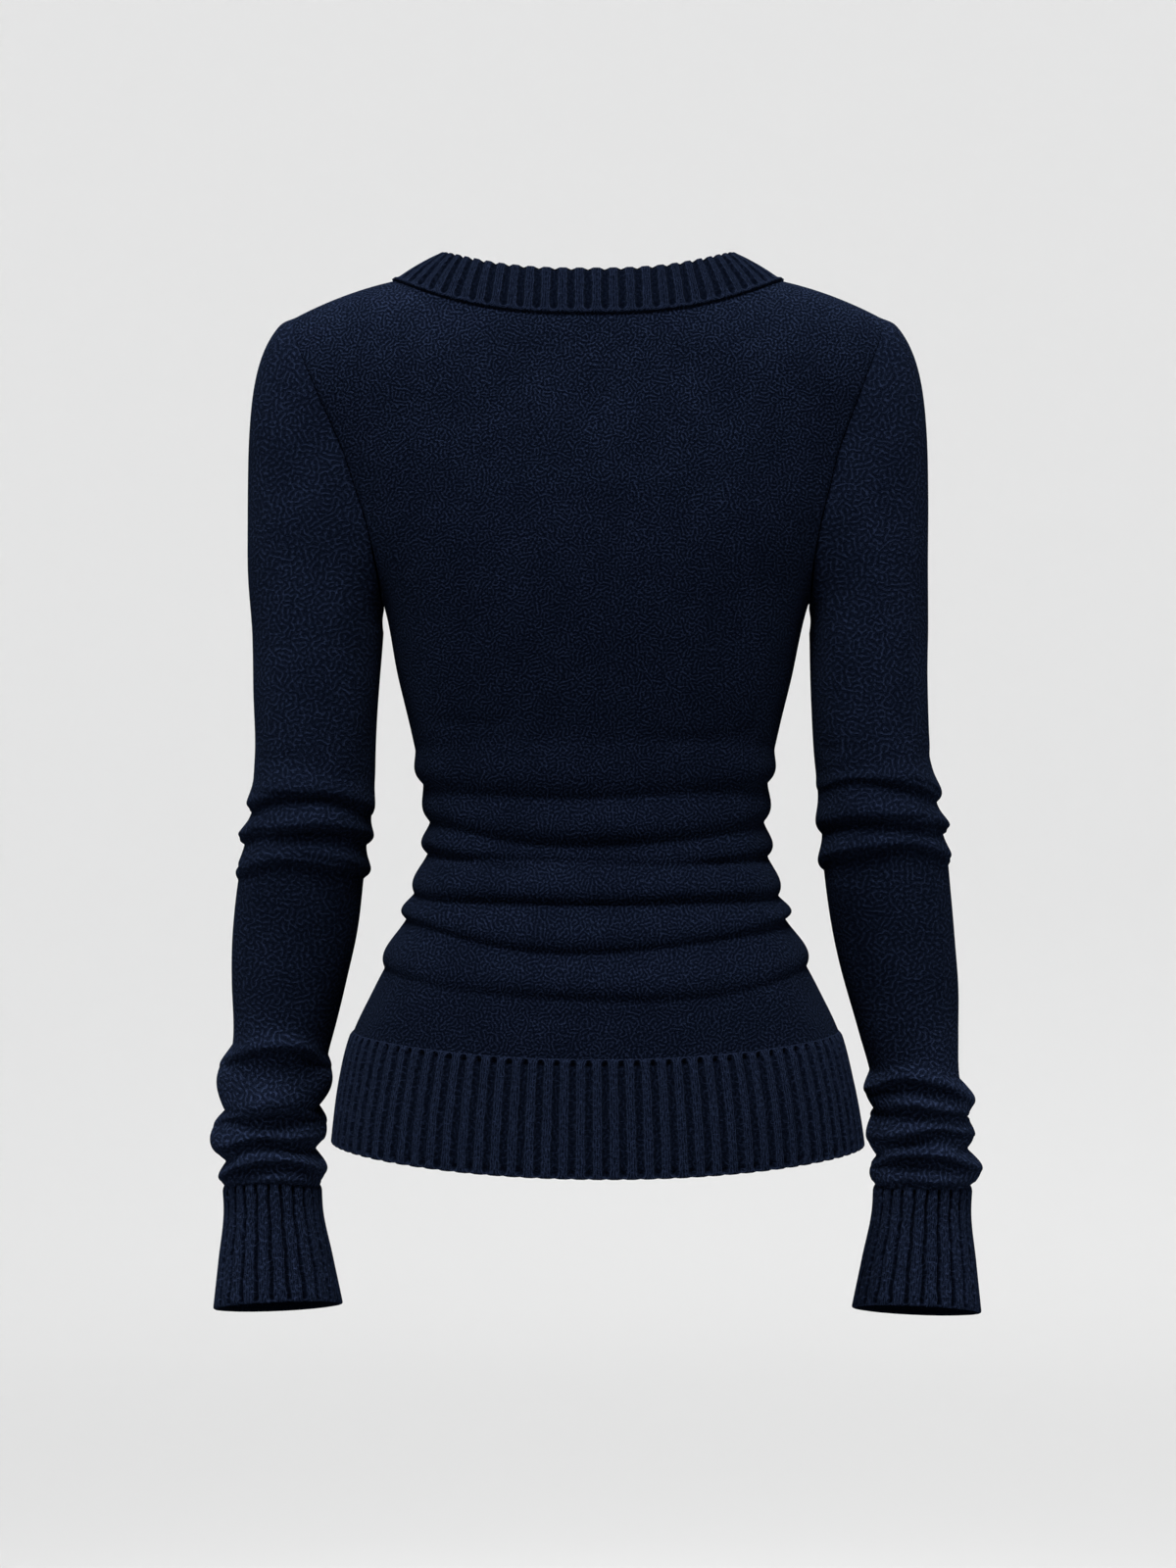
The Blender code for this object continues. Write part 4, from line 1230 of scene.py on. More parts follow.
@dataclass(frozen=True)
class PanelCutter:
    """Lays the plain panels out on the body's form.

    Fields:
        evenly: the share of the armhole by which columns have come to lie evenly.
        slants_from: the share of it from which a front's rows turn to the shoulder's slant.
        seam_fades: over what height rows turn to the hem seam's dip.
    """

    form: BodyForm
    body_rows: int = 190
    armhole_rows: int = 80
    back_columns: int = 200
    front_columns: int = 116
    evenly: float = 0.4
    slants_from: float = 0.6
    seam_fades: float = 0.040

    def heights(self) -> tuple[Array, Array]:
        """Heights of the rows at the side: from the hem seam to the armpit, and up the armhole."""
        lowest = self.form.hem_seam + SEAM_GAP
        body = lowest + edged(self.body_rows) * (self.form.armpit - lowest)
        share = np.linspace(0, 1, self.armhole_rows + 1)[1:]
        return body, self.form.armhole_height(share)

    @staticmethod
    def finish_seams(grid: Array, facing: Array, face: Face, armpit_row: int, shoulder: Array) -> None:
        """Opens half of the gap at the side and shoulder seams, and squares the walls that end there.

        Args:
            grid: the panel's points, changed in place.
            facing: the panel's normals, changed in place.
            face: the half of the body.
            armpit_row: the first row above the underarm.
            shoulder: columns whose top point lies on the shoulder seam.
        """
        edges = (0, -1) if face is Face.BACK else (0,)
        for edge in edges:
            side = np.s_[:armpit_row, edge]
            grid[side + (1,)] = face.value * SEAM_GAP
            flatten(facing, side, 1)
        top = (grid.shape[0] - 1, np.flatnonzero(shoulder))
        grid[top + (1,)] = face.value * SEAM_GAP
        flatten(facing, top, 1)
        flatten(facing, np.s_[0, :], 2)

    def back(self) -> Panel:
        """The back: columns from the right to the left, rows from the hem seam up.

        Below the armpit a column keeps its turn round the section. Above, the columns spread evenly
        and each climbs to the neckline or to the shoulder seam.
        """
        form = self.form
        body, armhole = self.heights()
        side = 2 * edged(self.back_columns) - 1
        turned = np.sin(side * math.pi / 2)
        near_seam = 1 - ramp(body - body[0], 0, self.seam_fades)[:, None]
        level = body[:, None] + near_seam * (form.seam_height(turned, Face.BACK) - form.hem_seam)
        lower = form.cloth(turned * form.girth("half_width", level), level, Face.BACK)
        top_x = side * form.shoulder_tip
        on_neck = np.abs(top_x) <= form.neck_point
        dipped = 1 - np.abs(np.clip(top_x / form.neck_point, -1, 1)) ** form.back_neck_curve
        neckline = form.neck_point_height - form.back_neck_drop * dipped
        top = np.where(on_neck, neckline, form.shoulder_height(top_x))
        share = ((armhole - form.armpit) / (armhole[-1] - form.armpit))[:, None]
        evenness = ramp(share, 0, self.evenly)
        spread = (1 - evenness) * turned + evenness * side
        height = form.armpit + share * (top - form.armpit)
        upper = form.cloth(spread * form.armhole_reach(armhole)[:, None], height, Face.BACK)
        grid = np.concatenate([lower, upper])
        facing = normals(grid)
        self.finish_seams(grid, facing, Face.BACK, len(body), ~on_neck)
        return Panel("back_knit", grid, facing, BACK_CUT, (0, -1), len(body))

    def edge_x(self, height: Array, reach: float, hand: int) -> Array:
        """x of a front's slanting edge: a straight line from its neck point to its reach at the hem."""
        form = self.form
        seam = form.hem_seam - form.hem_dips[Face.FRONT]
        share = (form.neck_point_height - height) / (form.neck_point_height - seam)
        return hand * (form.neck_point - (form.neck_point + reach) * share)

    def front(self, side: Side, reach: float, lift: Lift | None) -> Panel:
        """A front: columns from its side seam to its slanting edge, rows from the hem seam up.

        Args:
            side: the side seam that it hangs from.
            reach: how far past the middle its edge comes at the hem.
            lift: how far it stands off the form.

        Returns:
            The panel.
        """
        form, hand = self.form, side.value
        body, armhole = self.heights()
        share = edged(self.front_columns)[None, :]
        height = np.concatenate([body, armhole])[:, None]
        tip = armhole[-1]
        climb = (height - form.armpit) / (tip - form.armpit)
        above = np.clip(climb, 0, 1)
        edge_level = form.armpit + climb * (form.neck_point_height - form.armpit)
        level = np.where(climb > 0, height + (edge_level - height) * share, height)
        width = form.girth("half_width", height)
        start = hand * np.where(climb > 0, form.armhole_reach(height), width)
        edge = self.edge_x(level[:, -1:], reach, hand) - form.girth("shift", level[:, -1:])
        from_side, to_edge = np.arcsin(start / width), np.arcsin(edge / width)
        evenness = ramp(above, 0, self.evenly)
        x = (1 - evenness) * width * np.sin(from_side + (to_edge - from_side) * share)
        x = x + evenness * (start + (edge - start) * share)
        straight = tip + (form.neck_point_height - tip) * share
        level = level + ramp(above, self.slants_from, 1) * (form.shoulder_height(x) - straight)
        near_seam = 1 - ramp(height - height[0], 0, self.seam_fades)
        level = level + near_seam * (form.seam_height(x / width, Face.FRONT) - form.hem_seam)
        grid = form.cloth(x, level, Face.FRONT, lift)
        facing = normals(grid)
        self.finish_seams(grid, facing, Face.FRONT, len(body), np.ones(share.size, bool))
        return Panel(f"front_{side.word}_knit", grid, facing, FRONT_CUT, (0,), len(body))


# Ribbed pieces


@dataclass(frozen=True)
class Rib:
    """A rib's section: a rounded top with columns of stitches, and a channel to each side.

    Fields:
        pitch: width of a rib and a channel.
        samples: grid columns to a pitch.
        top, valley: how far the rib's top and the channel's floor stand out from the cloth.
        bank: where the channel's bank begins and ends, from the channel's middle, in pitches.
        crown: how much lower the rib's shoulders are than its middle.
    """

    pitch: float
    samples: int = 16
    top: float = 0.0014
    valley: float = -0.0011
    bank: tuple[float, float] = (0.12, 0.28)
    crown: float = 0.00035

    def places(self, ribs: int) -> Array:
        """Places of the columns in pitches, from the middle of a channel to the middle of another."""
        return np.arange(ribs * self.samples + 1) / self.samples

    def relief(self, away: Array) -> Array:
        """0 in the channels and 1 on the ribs, with a smooth step at the bank."""
        return ramp(away / self.pitch, *self.bank)

    def rise(self, away: Array) -> Array:
        """How far the surface stands out: the channel's floor, the bank, and the rounded top."""
        from_middle = np.clip(0.5 - away / self.pitch, 0, 0.5) * 2
        return self.valley + (self.top - self.valley - self.crown * from_middle**2) * self.relief(away)


@dataclass(frozen=True)
class Channels:
    """How a band's channels run, and how its rows begin and end. A zero leaves a feature out.

    Fields:
        rim, hem_rim: how far below the first row and above the last each channel ends.
        pit, pit_size, pit_shade: depth, half width and painted shade of the eyelet at a channel's end.
        starts: length over which the ribs rise out of the seam.
        starts_early: how far above the seam they begin to, as a share of that length.
        roll, roll_at: how far the first row's edge is rolled out, where, and half how wide.
        scallop, scallops_from: how much longer ribs are than channels, and from which share down.
        waver: how far the channels wander sideways, in pitches.
    """

    rim: float = 0.0
    hem_rim: float = 0.0
    pit: float = 0.0
    pit_size: float = 0.0016
    pit_shade: float = 0.9
    starts: float = 0.0
    starts_early: float = 0.4
    roll: float = 0.0
    roll_at: tuple[float, float] = (0.0013, 0.0013)
    scallop: float = 0.0005
    scallops_from: float = 0.9
    waver: float = 0.012
    edges: Edges = Edges(free=("last_row",), sewn=("first_row",))


TUCKED = Edges(free=("last_row",), sewn=("first_row",), dip=0.0006)
NECK_CHANNELS = Channels(rim=0.0026, pit=0.0003, roll=0.0010)
HEM_CHANNELS = Channels(rim=0.0006 + TUCK, hem_rim=0.0010, pit=0.0014, starts=0.0040, edges=TUCKED)
CUFF_CHANNELS = replace(HEM_CHANNELS, rim=0.0004 + TUCK, pit=0.0008, starts=0.0036, waver=0.03)


@dataclass
class Band:
    """A ribbed piece on its plain base, with its ribs running from the first row to the last.

    Place gives the columns' places across the ribs, in pitches.
    """

    name: str
    base: Array
    facing: Array
    rib: Rib
    place: Array
    flat: tuple[float, float]
    channels: Channels
    closed: bool = False

    @property
    def half_channel(self) -> float:
        """How far from a channel's middle its bank is half climbed."""
        return float(np.mean(self.rib.bank)) * self.rib.pitch

    def ends(self, down: Array) -> list[tuple[Array, float]]:
        """For each row before which channels end, how far every point is from it, and the rim."""
        both = ((down, self.channels.rim), (down[-1:] - down, self.channels.hem_rim))
        return [(reach, rim) for reach, rim in both if rim]

    def from_channels(self, down: Array) -> tuple[Array, Array]:
        """How far each point is from the middle of the nearest channel.

        A channel's middle is a line that wanders by two sines, and stops short of a row by the rim
        and half the channel, so its banks close round the line's end as a loop.

        Args:
            down: how far down the band each point is.

        Returns:
            The distance from the line as if it had no ends, and from the line.
        """
        number = np.round(self.place)
        wander = sum(sway.at(down, number) for sway in CHANNEL_SWAYS)
        off = np.abs(self.place - number - self.channels.waver * wander) * self.rib.pitch
        squared = off**2
        for reach, rim in self.ends(down):
            squared = squared + np.clip(rim + self.half_channel - reach, 0, None) ** 2
        return off, np.sqrt(squared)

    def laid(self, down: Array) -> Array:
        """The pattern's place: across the ribs, and down by the mean of each row."""
        pitch = self.rib.pitch
        across = np.broadcast_to(self.place * pitch, down.shape)
        length = np.broadcast_to(down.mean(axis=1, keepdims=True), down.shape)
        if self.closed:
            across = np.concatenate([across, across[:, -1:] + pitch / self.rib.samples], axis=1)
            length = np.concatenate([length, length[:, :1]], axis=1)
        return np.stack([across, length], axis=-1)

    def shell(self) -> Shell:
        """The band as a wall, with ribs, eyelets and scallops raised in its outer face."""
        rib, channels, every = self.rib, self.channels, self.rib.samples
        down = distances(self.base)
        off, away = self.from_channels(down)
        # painted shade: channel floors are painted darker than the ribs
        rise, hollow = rib.rise(away), 1 - rib.relief(away)
        if channels.starts:
            rise = rise * ramp(down, -channels.starts_early * channels.starts, channels.starts)
        roll_place, roll_width = channels.roll_at
        rise = rise + channels.roll * np.exp(-(((down - roll_place) / roll_width) ** 2))
        for reach, rim in self.ends(down):
            below = ((reach - rim - self.half_channel) / channels.pit_size) ** 2
            eyelet = np.exp(-((off / channels.pit_size) ** 2) - below)
            rise = rise - channels.pit * eyelet
            # painted shade: each eyelet is painted darker still
            hollow = hollow + channels.pit_shade * eyelet
        sunk, risen = channels.edges.soften(self.base, self.closed, every)
        outer = self.base + self.facing * (rise - sunk)[..., None]
        heading = unit(np.gradient(self.base, axis=0))
        longer = ramp(down / down[-1:], channels.scallops_from, 1) * channels.scallop
        outer = outer + heading * (longer * (rib.relief(off) - 0.5))[..., None]
        inner = plain_side(self.base - WALL * self.facing, self.facing, risen, every)
        return Shell(self.name, outer, inner, hollow, away, self.closed, self.laid(down))


@dataclass(frozen=True)
class NeckBand:
    """The ribbed band round the neck: behind it, and down the slanting edge of each front.

    Its free edge behind is half an oval that rises towards the shoulders. A front's part comes to
    lie on the body over settles, and turns its ribs level before the hem over end_turn. Columns
    up to slack past the neck point still belong to the neckline.
    """

    form: BodyForm
    width: float = 0.033
    edge_half: float = 0.092
    edge_depth: float = 0.058
    edge_height: float = -0.0004
    edge_rise: float = 0.0166
    back_ribs: int = 28
    front_ribs: int = 53
    bow: float = 0.0012
    settles: float = 0.055
    end_turn: float = 0.060
    rows: int = 24
    slack: float = 0.0001

    def band(
        self, name: str, lines: tuple[Array, Array, Array], turn: Array, ribs: int, face: Face
    ) -> Band:
        """A band on the parabola through three lines: the seam, the middle and the free edge.

        Args:
            name: the piece's name.
            lines: the seam, the middle line and the free edge, with matching points.
            turn: the panel's normals along the seam.
            ribs: how many ribs it has.
            face: the half of the body.

        Returns:
            The band.
        """
        seam, middle, free = lines
        rib = Rib(distances(seam)[-1] / ribs)
        place = rib.places(ribs)
        near, half, far = (along(line, place / ribs, seam) for line in lines)
        turned = unit(along(turn, place / ribs, seam))
        across = unit(half - near)
        square = unit(across - turned * np.sum(across * turned, axis=1, keepdims=True))
        near = near + BAND_GAP * square
        share = edged(self.rows)[:, None, None]
        base = near * (1 - share) * (1 - 2 * share) + half * 4 * share * (1 - share)
        base = base + far * share * (2 * share - 1)
        facing = normals(base)
        facing[0] = turned
        for edge in (0, -1) if face is Face.BACK else (0,):
            base[:, edge, 1] = face.value * SEAM_GAP
            flatten(facing, np.s_[:, edge], 1)
        if face is Face.FRONT:
            self.end_at_hem(base, facing, rib.samples)
        flat = (self.width, float(distances(seam)[-1]))
        return Band(name, base, facing, rib, place, flat, NECK_CHANNELS)

    def end_at_hem(self, base: Array, facing: Array, reach: int) -> None:
        """Brings the band's last column level with the hem seam, and the columns before it evenly."""
        form = self.form
        end = base[:, -1]
        sideways = (end[:, 0] - form.girth("shift", end[:, 2])) / form.girth("half_width", end[:, 2])
        moved = form.seam_height(sideways, Face.FRONT) - end[:, 2]
        base[:, -reach:, 2] += moved[:, None] * np.linspace(0, 1, reach)
        flatten(facing, np.s_[:, -1], 2)

    def back(self, panel: Panel) -> Band:
        """The band behind the neck: its free edge is half an oval that rises towards the shoulders."""
        form = self.form
        top = panel.grid[-1]
        on_neck = np.flatnonzero(np.abs(top[:, 0]) <= form.neck_point + self.slack)
        seam, turn = top[on_neck], panel.facing[-1][on_neck]
        travelled = distances(seam)
        across = np.sin((2 * travelled / travelled[-1] - 1) * math.pi / 2)
        bow = np.clip(1 - np.abs(across) ** form.section_power, 0, 1) ** (1 / form.section_power)
        rise = self.edge_rise * np.abs(across) ** form.back_neck_curve
        free = points(self.edge_half * across, self.edge_depth * bow, self.edge_height + rise)
        middle = (seam + free) / 2 + self.bow * turn
        return self.band("neckband_back_rib", (seam, middle, free), turn, self.back_ribs, Face.BACK)

    def front(self, panel: Panel, side: Side, lift: Lift | None) -> Band:
        """The band down a front's edge: square to it, level at the hem, and laid on the body.

        Args:
            panel: the front that it edges.
            side: the side of the neck that it starts from.
            lift: how far that front stands off the form.

        Returns:
            The band.
        """
        form, hand = self.form, side.value
        seam, turn = panel.grid[::-1, -1], panel.facing[::-1, -1]
        run = unit(np.gradient(seam, axis=0))
        across = unit(np.cross(run, turn))
        across = across * np.sign(across[len(across) // 2, 2])
        travelled = distances(seam)
        level = unit(np.cross(turn, [0, 0, 1]))
        level = level * np.sign(-hand * level[:, :1])
        cut = ramp(travelled, travelled[-1] - self.end_turn, travelled[-1])[:, None]
        heading = unit((1 - cut) * across + cut * level)
        slant = np.sum(heading * run, axis=1, keepdims=True)
        width = self.width / np.sqrt(1 - slant**2)
        shoulder_end = points(hand * self.edge_half, 0, self.edge_height + self.edge_rise)
        settled = ramp(travelled, 0, self.settles)[:, None]

        def line(share: float) -> Array:
            """The line at a share of the band's width from its seam."""
            ahead = seam + heading * width * share
            x = ahead[:, 0] - form.girth("shift", ahead[:, 2])
            laid = form.cloth(x, ahead[:, 2], Face.FRONT, lift)
            return (1 - settled) * (seam + share * (shoulder_end - seam[0])) + settled * laid

        lines = (seam, line(0.5), line(1.0))
        return self.band(f"neckband_{side.word}_rib", lines, turn, self.front_ribs, Face.FRONT)


@dataclass(frozen=True)
class HemBand:
    """Half of the wide hem band, from one side seam to the other.

    Ease is how much wider than its seam it was knitted. The seam is measured in fine steps.
    """

    form: BodyForm
    ribs: int = 45
    rows: int = 42
    fine_steps: int = 720
    ease: float = 1.03
    length: float = 0.070

    def band(self, name: str, face: Face, lift: Lift | None) -> Band:
        """The half band: ribs evenly along the seam, each row between the seam and the edge.

        Args:
            name: the piece's name.
            face: the half of the body.
            lift: how far it stands off the form.

        Returns:
            The band.
        """
        form = self.form
        fine = np.linspace(-1, 1, self.fine_steps + 1)
        seam_x = np.sin(fine * math.pi / 2) * form.girth("half_width", np.array(form.hem_seam))
        travelled = distances(form.cloth(seam_x, np.full(fine.shape, form.hem_seam), face))
        rib = Rib(travelled[-1] / self.ribs)
        place = rib.places(self.ribs)
        across = np.sin(np.interp(place / self.ribs, travelled / travelled[-1], fine) * math.pi / 2)
        top = form.seam_height(across, face) + TUCK
        dip = form.hem_dips[face] * form.hem_edge_dip * (1 - across**2)
        bottom = form.hem_edge + form.hem_edge_tilt * across - dip
        level = top + (bottom - top) * edged(self.rows)[:, None]
        base = form.cloth(across * form.girth("half_width", level), level, face, lift)
        facing = normals(base)
        for edge in (0, -1):
            base[:, edge, 1] = face.value * SEAM_GAP
            flatten(facing, np.s_[:, edge], 1)
        flatten(facing, np.s_[0, :], 2)
        flatten(facing, np.s_[-1, :], 2)
        flat = (float(travelled[-1]) * self.ease, self.length)
        return Band(name, base, facing, rib, place, flat, HEM_CHANNELS)


# Sleeves and cuffs


class ArmRing(NamedTuple):
    """A sleeve's section at a height: its outermost and innermost points, its middle and half depth."""

    height: float
    outer: float
    inner: float
    middle: float
    depth: float


ARM_RINGS: dict[Side, tuple[ArmRing, ...]] = {
    Side.LEFT: (
        ArmRing(-0.2225, 0.2127, 0.1298, 0.000, 0.0455),
        ArmRing(-0.2560, 0.2117, 0.1314, 0.001, 0.0445),
        ArmRing(-0.2970, 0.2105, 0.1339, 0.002, 0.0435),
        ArmRing(-0.3150, 0.2114, 0.1348, 0.002, 0.0430),
        ArmRing(-0.3360, 0.2127, 0.1370, 0.0015, 0.0427),
        ArmRing(-0.3560, 0.2168, 0.1405, 0.000, 0.0423),
        ArmRing(-0.3800, 0.2212, 0.1428, -0.003, 0.0415),
        ArmRing(-0.4110, 0.2250, 0.1464, -0.008, 0.0400),
        ArmRing(-0.4430, 0.2267, 0.1534, -0.012, 0.0385),
        ArmRing(-0.4770, 0.2266, 0.1622, -0.016, 0.0365),
        ArmRing(-0.5000, 0.2279, 0.1686, -0.018, 0.0338),
        ArmRing(-0.5220, 0.2289, 0.1731, -0.020, 0.0318),
        ArmRing(-0.5540, 0.2303, 0.1746, -0.022, 0.0306),
        ArmRing(-0.5750, 0.2323, 0.1715, -0.023, 0.0306),
    ),
    Side.RIGHT: (
        ArmRing(-0.2225, 0.2151, 0.1397, 0.000, 0.0455),
        ArmRing(-0.2560, 0.2148, 0.1403, 0.001, 0.0445),
        ArmRing(-0.2970, 0.2163, 0.1428, 0.002, 0.0435),
        ArmRing(-0.3180, 0.2184, 0.1453, 0.002, 0.0430),
        ArmRing(-0.3290, 0.2201, 0.1464, 0.0015, 0.0428),
        ArmRing(-0.3495, 0.2238, 0.1482, 0.000, 0.0424),
        ArmRing(-0.3680, 0.2270, 0.1490, -0.002, 0.0419),
        ArmRing(-0.3800, 0.2285, 0.1504, -0.003, 0.0415),
        ArmRing(-0.4110, 0.2328, 0.1556, -0.008, 0.0400),
        ArmRing(-0.4430, 0.2356, 0.1625, -0.012, 0.0385),
        ArmRing(-0.4770, 0.2358, 0.1722, -0.016, 0.0365),
        ArmRing(-0.5030, 0.2366, 0.1803, -0.018, 0.0338),
        ArmRing(-0.5270, 0.2404, 0.1843, -0.020, 0.0318),
        ArmRing(-0.5530, 0.2416, 0.1856, -0.022, 0.0306),
        ArmRing(-0.5750, 0.2444, 0.1836, -0.023, 0.0306),
    ),
}

# the elbow and wrist folds paint shade under their puffs, up to deepest
ELBOW_FOLDS = Gathers(lean=2.4, fullness=0.80, shade_width=0.0018, deepest=0.46)
WRIST_FOLDS = Gathers(lean=3.8, fullness=0.75, deepest=0.72)
WRIST_SIDE_FOLDS = Gathers(lean=1.15)

ARM_GATHERS: dict[Side, tuple[Gathers, ...]] = {
    Side.LEFT: (
        folds(
            ELBOW_FOLDS,
            (-0.3058, -0.3137, -0.3106, -0.3161, 0.0050, 0.0038, 0.0040, 0.0016),
            (-0.3271, -0.3360, -0.3341, -0.3378, 0.0062, 0.0050, 0.0050, 0.0034),
            (-0.3478, -0.3558, -0.3540, -0.3552, 0.0050, 0.0024, 0.0035, 0.0041),
            (-0.3691, -0.3781, -0.3750, -0.3775),
        ),
        folds(
            WRIST_FOLDS,
            (-0.4655, -0.4747, -0.4704, -0.4777, 0.0068, 0.0010, 0.0056, 0.0010),
            (-0.4857, -0.4986, -0.4913, -0.4986, 0.0090, 0.0014, 0.0078, 0.0014),
            (-0.5263, -0.5367, -0.5306, -0.5343, 0.0064, 0.0008, 0.0056, 0.0008),
            (-0.5429, -0.5546, -0.5478, -0.5466, 0.0080, 0.0010, 0.0068, 0.0010),
            (-0.5570, -0.5718, -0.5632, -0.5668, 0.0034, 0.0008, 0.0026, 0.0008),
            (-0.5700, -0.5750, -0.5720, -0.5750),
        ),
        folds(
            WRIST_SIDE_FOLDS,
            (-0.4837, -0.4832, -0.4846, -0.4913, 0.0000, 0.0088, 0.0000, 0.0078),
            (-0.5236, -0.5251, -0.5234, -0.5226, 0.0000, 0.0098, 0.0000, 0.0070),
            (-0.5535, -0.5588, -0.5535, -0.5501, 0.0000, 0.0034, 0.0000, 0.0053),
            (-0.5722, -0.5745, -0.5722, -0.5720),
        ),
    ),
    Side.RIGHT: (
        folds(
            ELBOW_FOLDS,
            (-0.3028, -0.3025, -0.3025, -0.3106, 0.0036, 0.0046, 0.0040, 0.0006),
            (-0.3180, -0.3292, -0.3254, -0.3217, 0.0062, 0.0048, 0.0050, 0.0030),
            (-0.3423, -0.3496, -0.3490, -0.3484, 0.0056, 0.0028, 0.0035, 0.0034),
            (-0.3594, -0.3688, -0.3676, -0.3726),
        ),
        folds(
            WRIST_FOLDS,
            (-0.4876, -0.4986, -0.4925, -0.4962, 0.0062, 0.0010, 0.0052, 0.0010),
            (-0.5066, -0.5232, -0.5134, -0.5146, 0.0060, 0.0008, 0.0056, 0.0010),
            (-0.5226, -0.5330, -0.5269, -0.5294, 0.0060, 0.0006, 0.0052, 0.0006),
            (-0.5380, -0.5429, -0.5392, -0.5466, 0.0084, 0.0010, 0.0068, 0.0010),
            (-0.5539, -0.5656, -0.5601, -0.5613, 0.0040, 0.0008, 0.0028, 0.0008),
            (-0.5700, -0.5750, -0.5720, -0.5750),
        ),
        folds(
            WRIST_SIDE_FOLDS,
            (-0.5012, -0.5050, -0.5021, -0.5007, 0.0000, 0.0074, 0.0000, 0.0053),
            (-0.5249, -0.5288, -0.5259, -0.5244, 0.0000, 0.0046, 0.0000, 0.0062),
            (-0.5523, -0.5507, -0.5522, -0.5551, 0.0000, 0.0078, 0.0000, 0.0042),
            (-0.5722, -0.5732, -0.5735, -0.5732),
        ),
    ),
}

ARM_CREASES: dict[Side, tuple[Crease, ...]] = {
    Side.LEFT: (
        Crease(-88, -30, -0.4990, -0.4940, -0.4900, 0.0012, 0.0028),
        Crease(30, 88, -0.4900, -0.4935, -0.4990, 0.0014, 0.0028),
        Crease(10, 70, -0.3000, -0.3025, -0.3030, 0.0008, 0.0040),
        Crease(66, -70, -0.3230, -0.3271, -0.3350, 0.0016, 0.0020),
        Crease(76, -76, -0.3470, -0.3484, -0.3500, 0.0018, 0.0020),
        Crease(15, -76, -0.3610, -0.3665, -0.3735, 0.0014, 0.0020),
    ),
    Side.RIGHT: (
        Crease(-85, -20, -0.5160, -0.5120, -0.5100, 0.0014, 0.0028),
        Crease(15, 80, -0.5080, -0.5150, -0.5240, 0.0016, 0.0028),
        Crease(-70, 0, -0.2960, -0.2970, -0.2960, 0.0008, 0.0040),
        Crease(20, 76, -0.3150, -0.3185, -0.3250, 0.0014, 0.0020),
        Crease(-76, 50, -0.3490, -0.3420, -0.3390, 0.0018, 0.0020),
        Crease(-76, 10, -0.3680, -0.3620, -0.3600, 0.0014, 0.0020),
    ),
}

WRIST_BOWS = {Side.LEFT: 0.0050, Side.RIGHT: 0.0015}


def wrist_seam(side: Side, height: float, angle: Array) -> Array:
    """The cuff seam's height: it bows up behind and in front by the squared sine of the angle."""
    return height + WRIST_BOWS[side] * np.sin(angle) ** 2


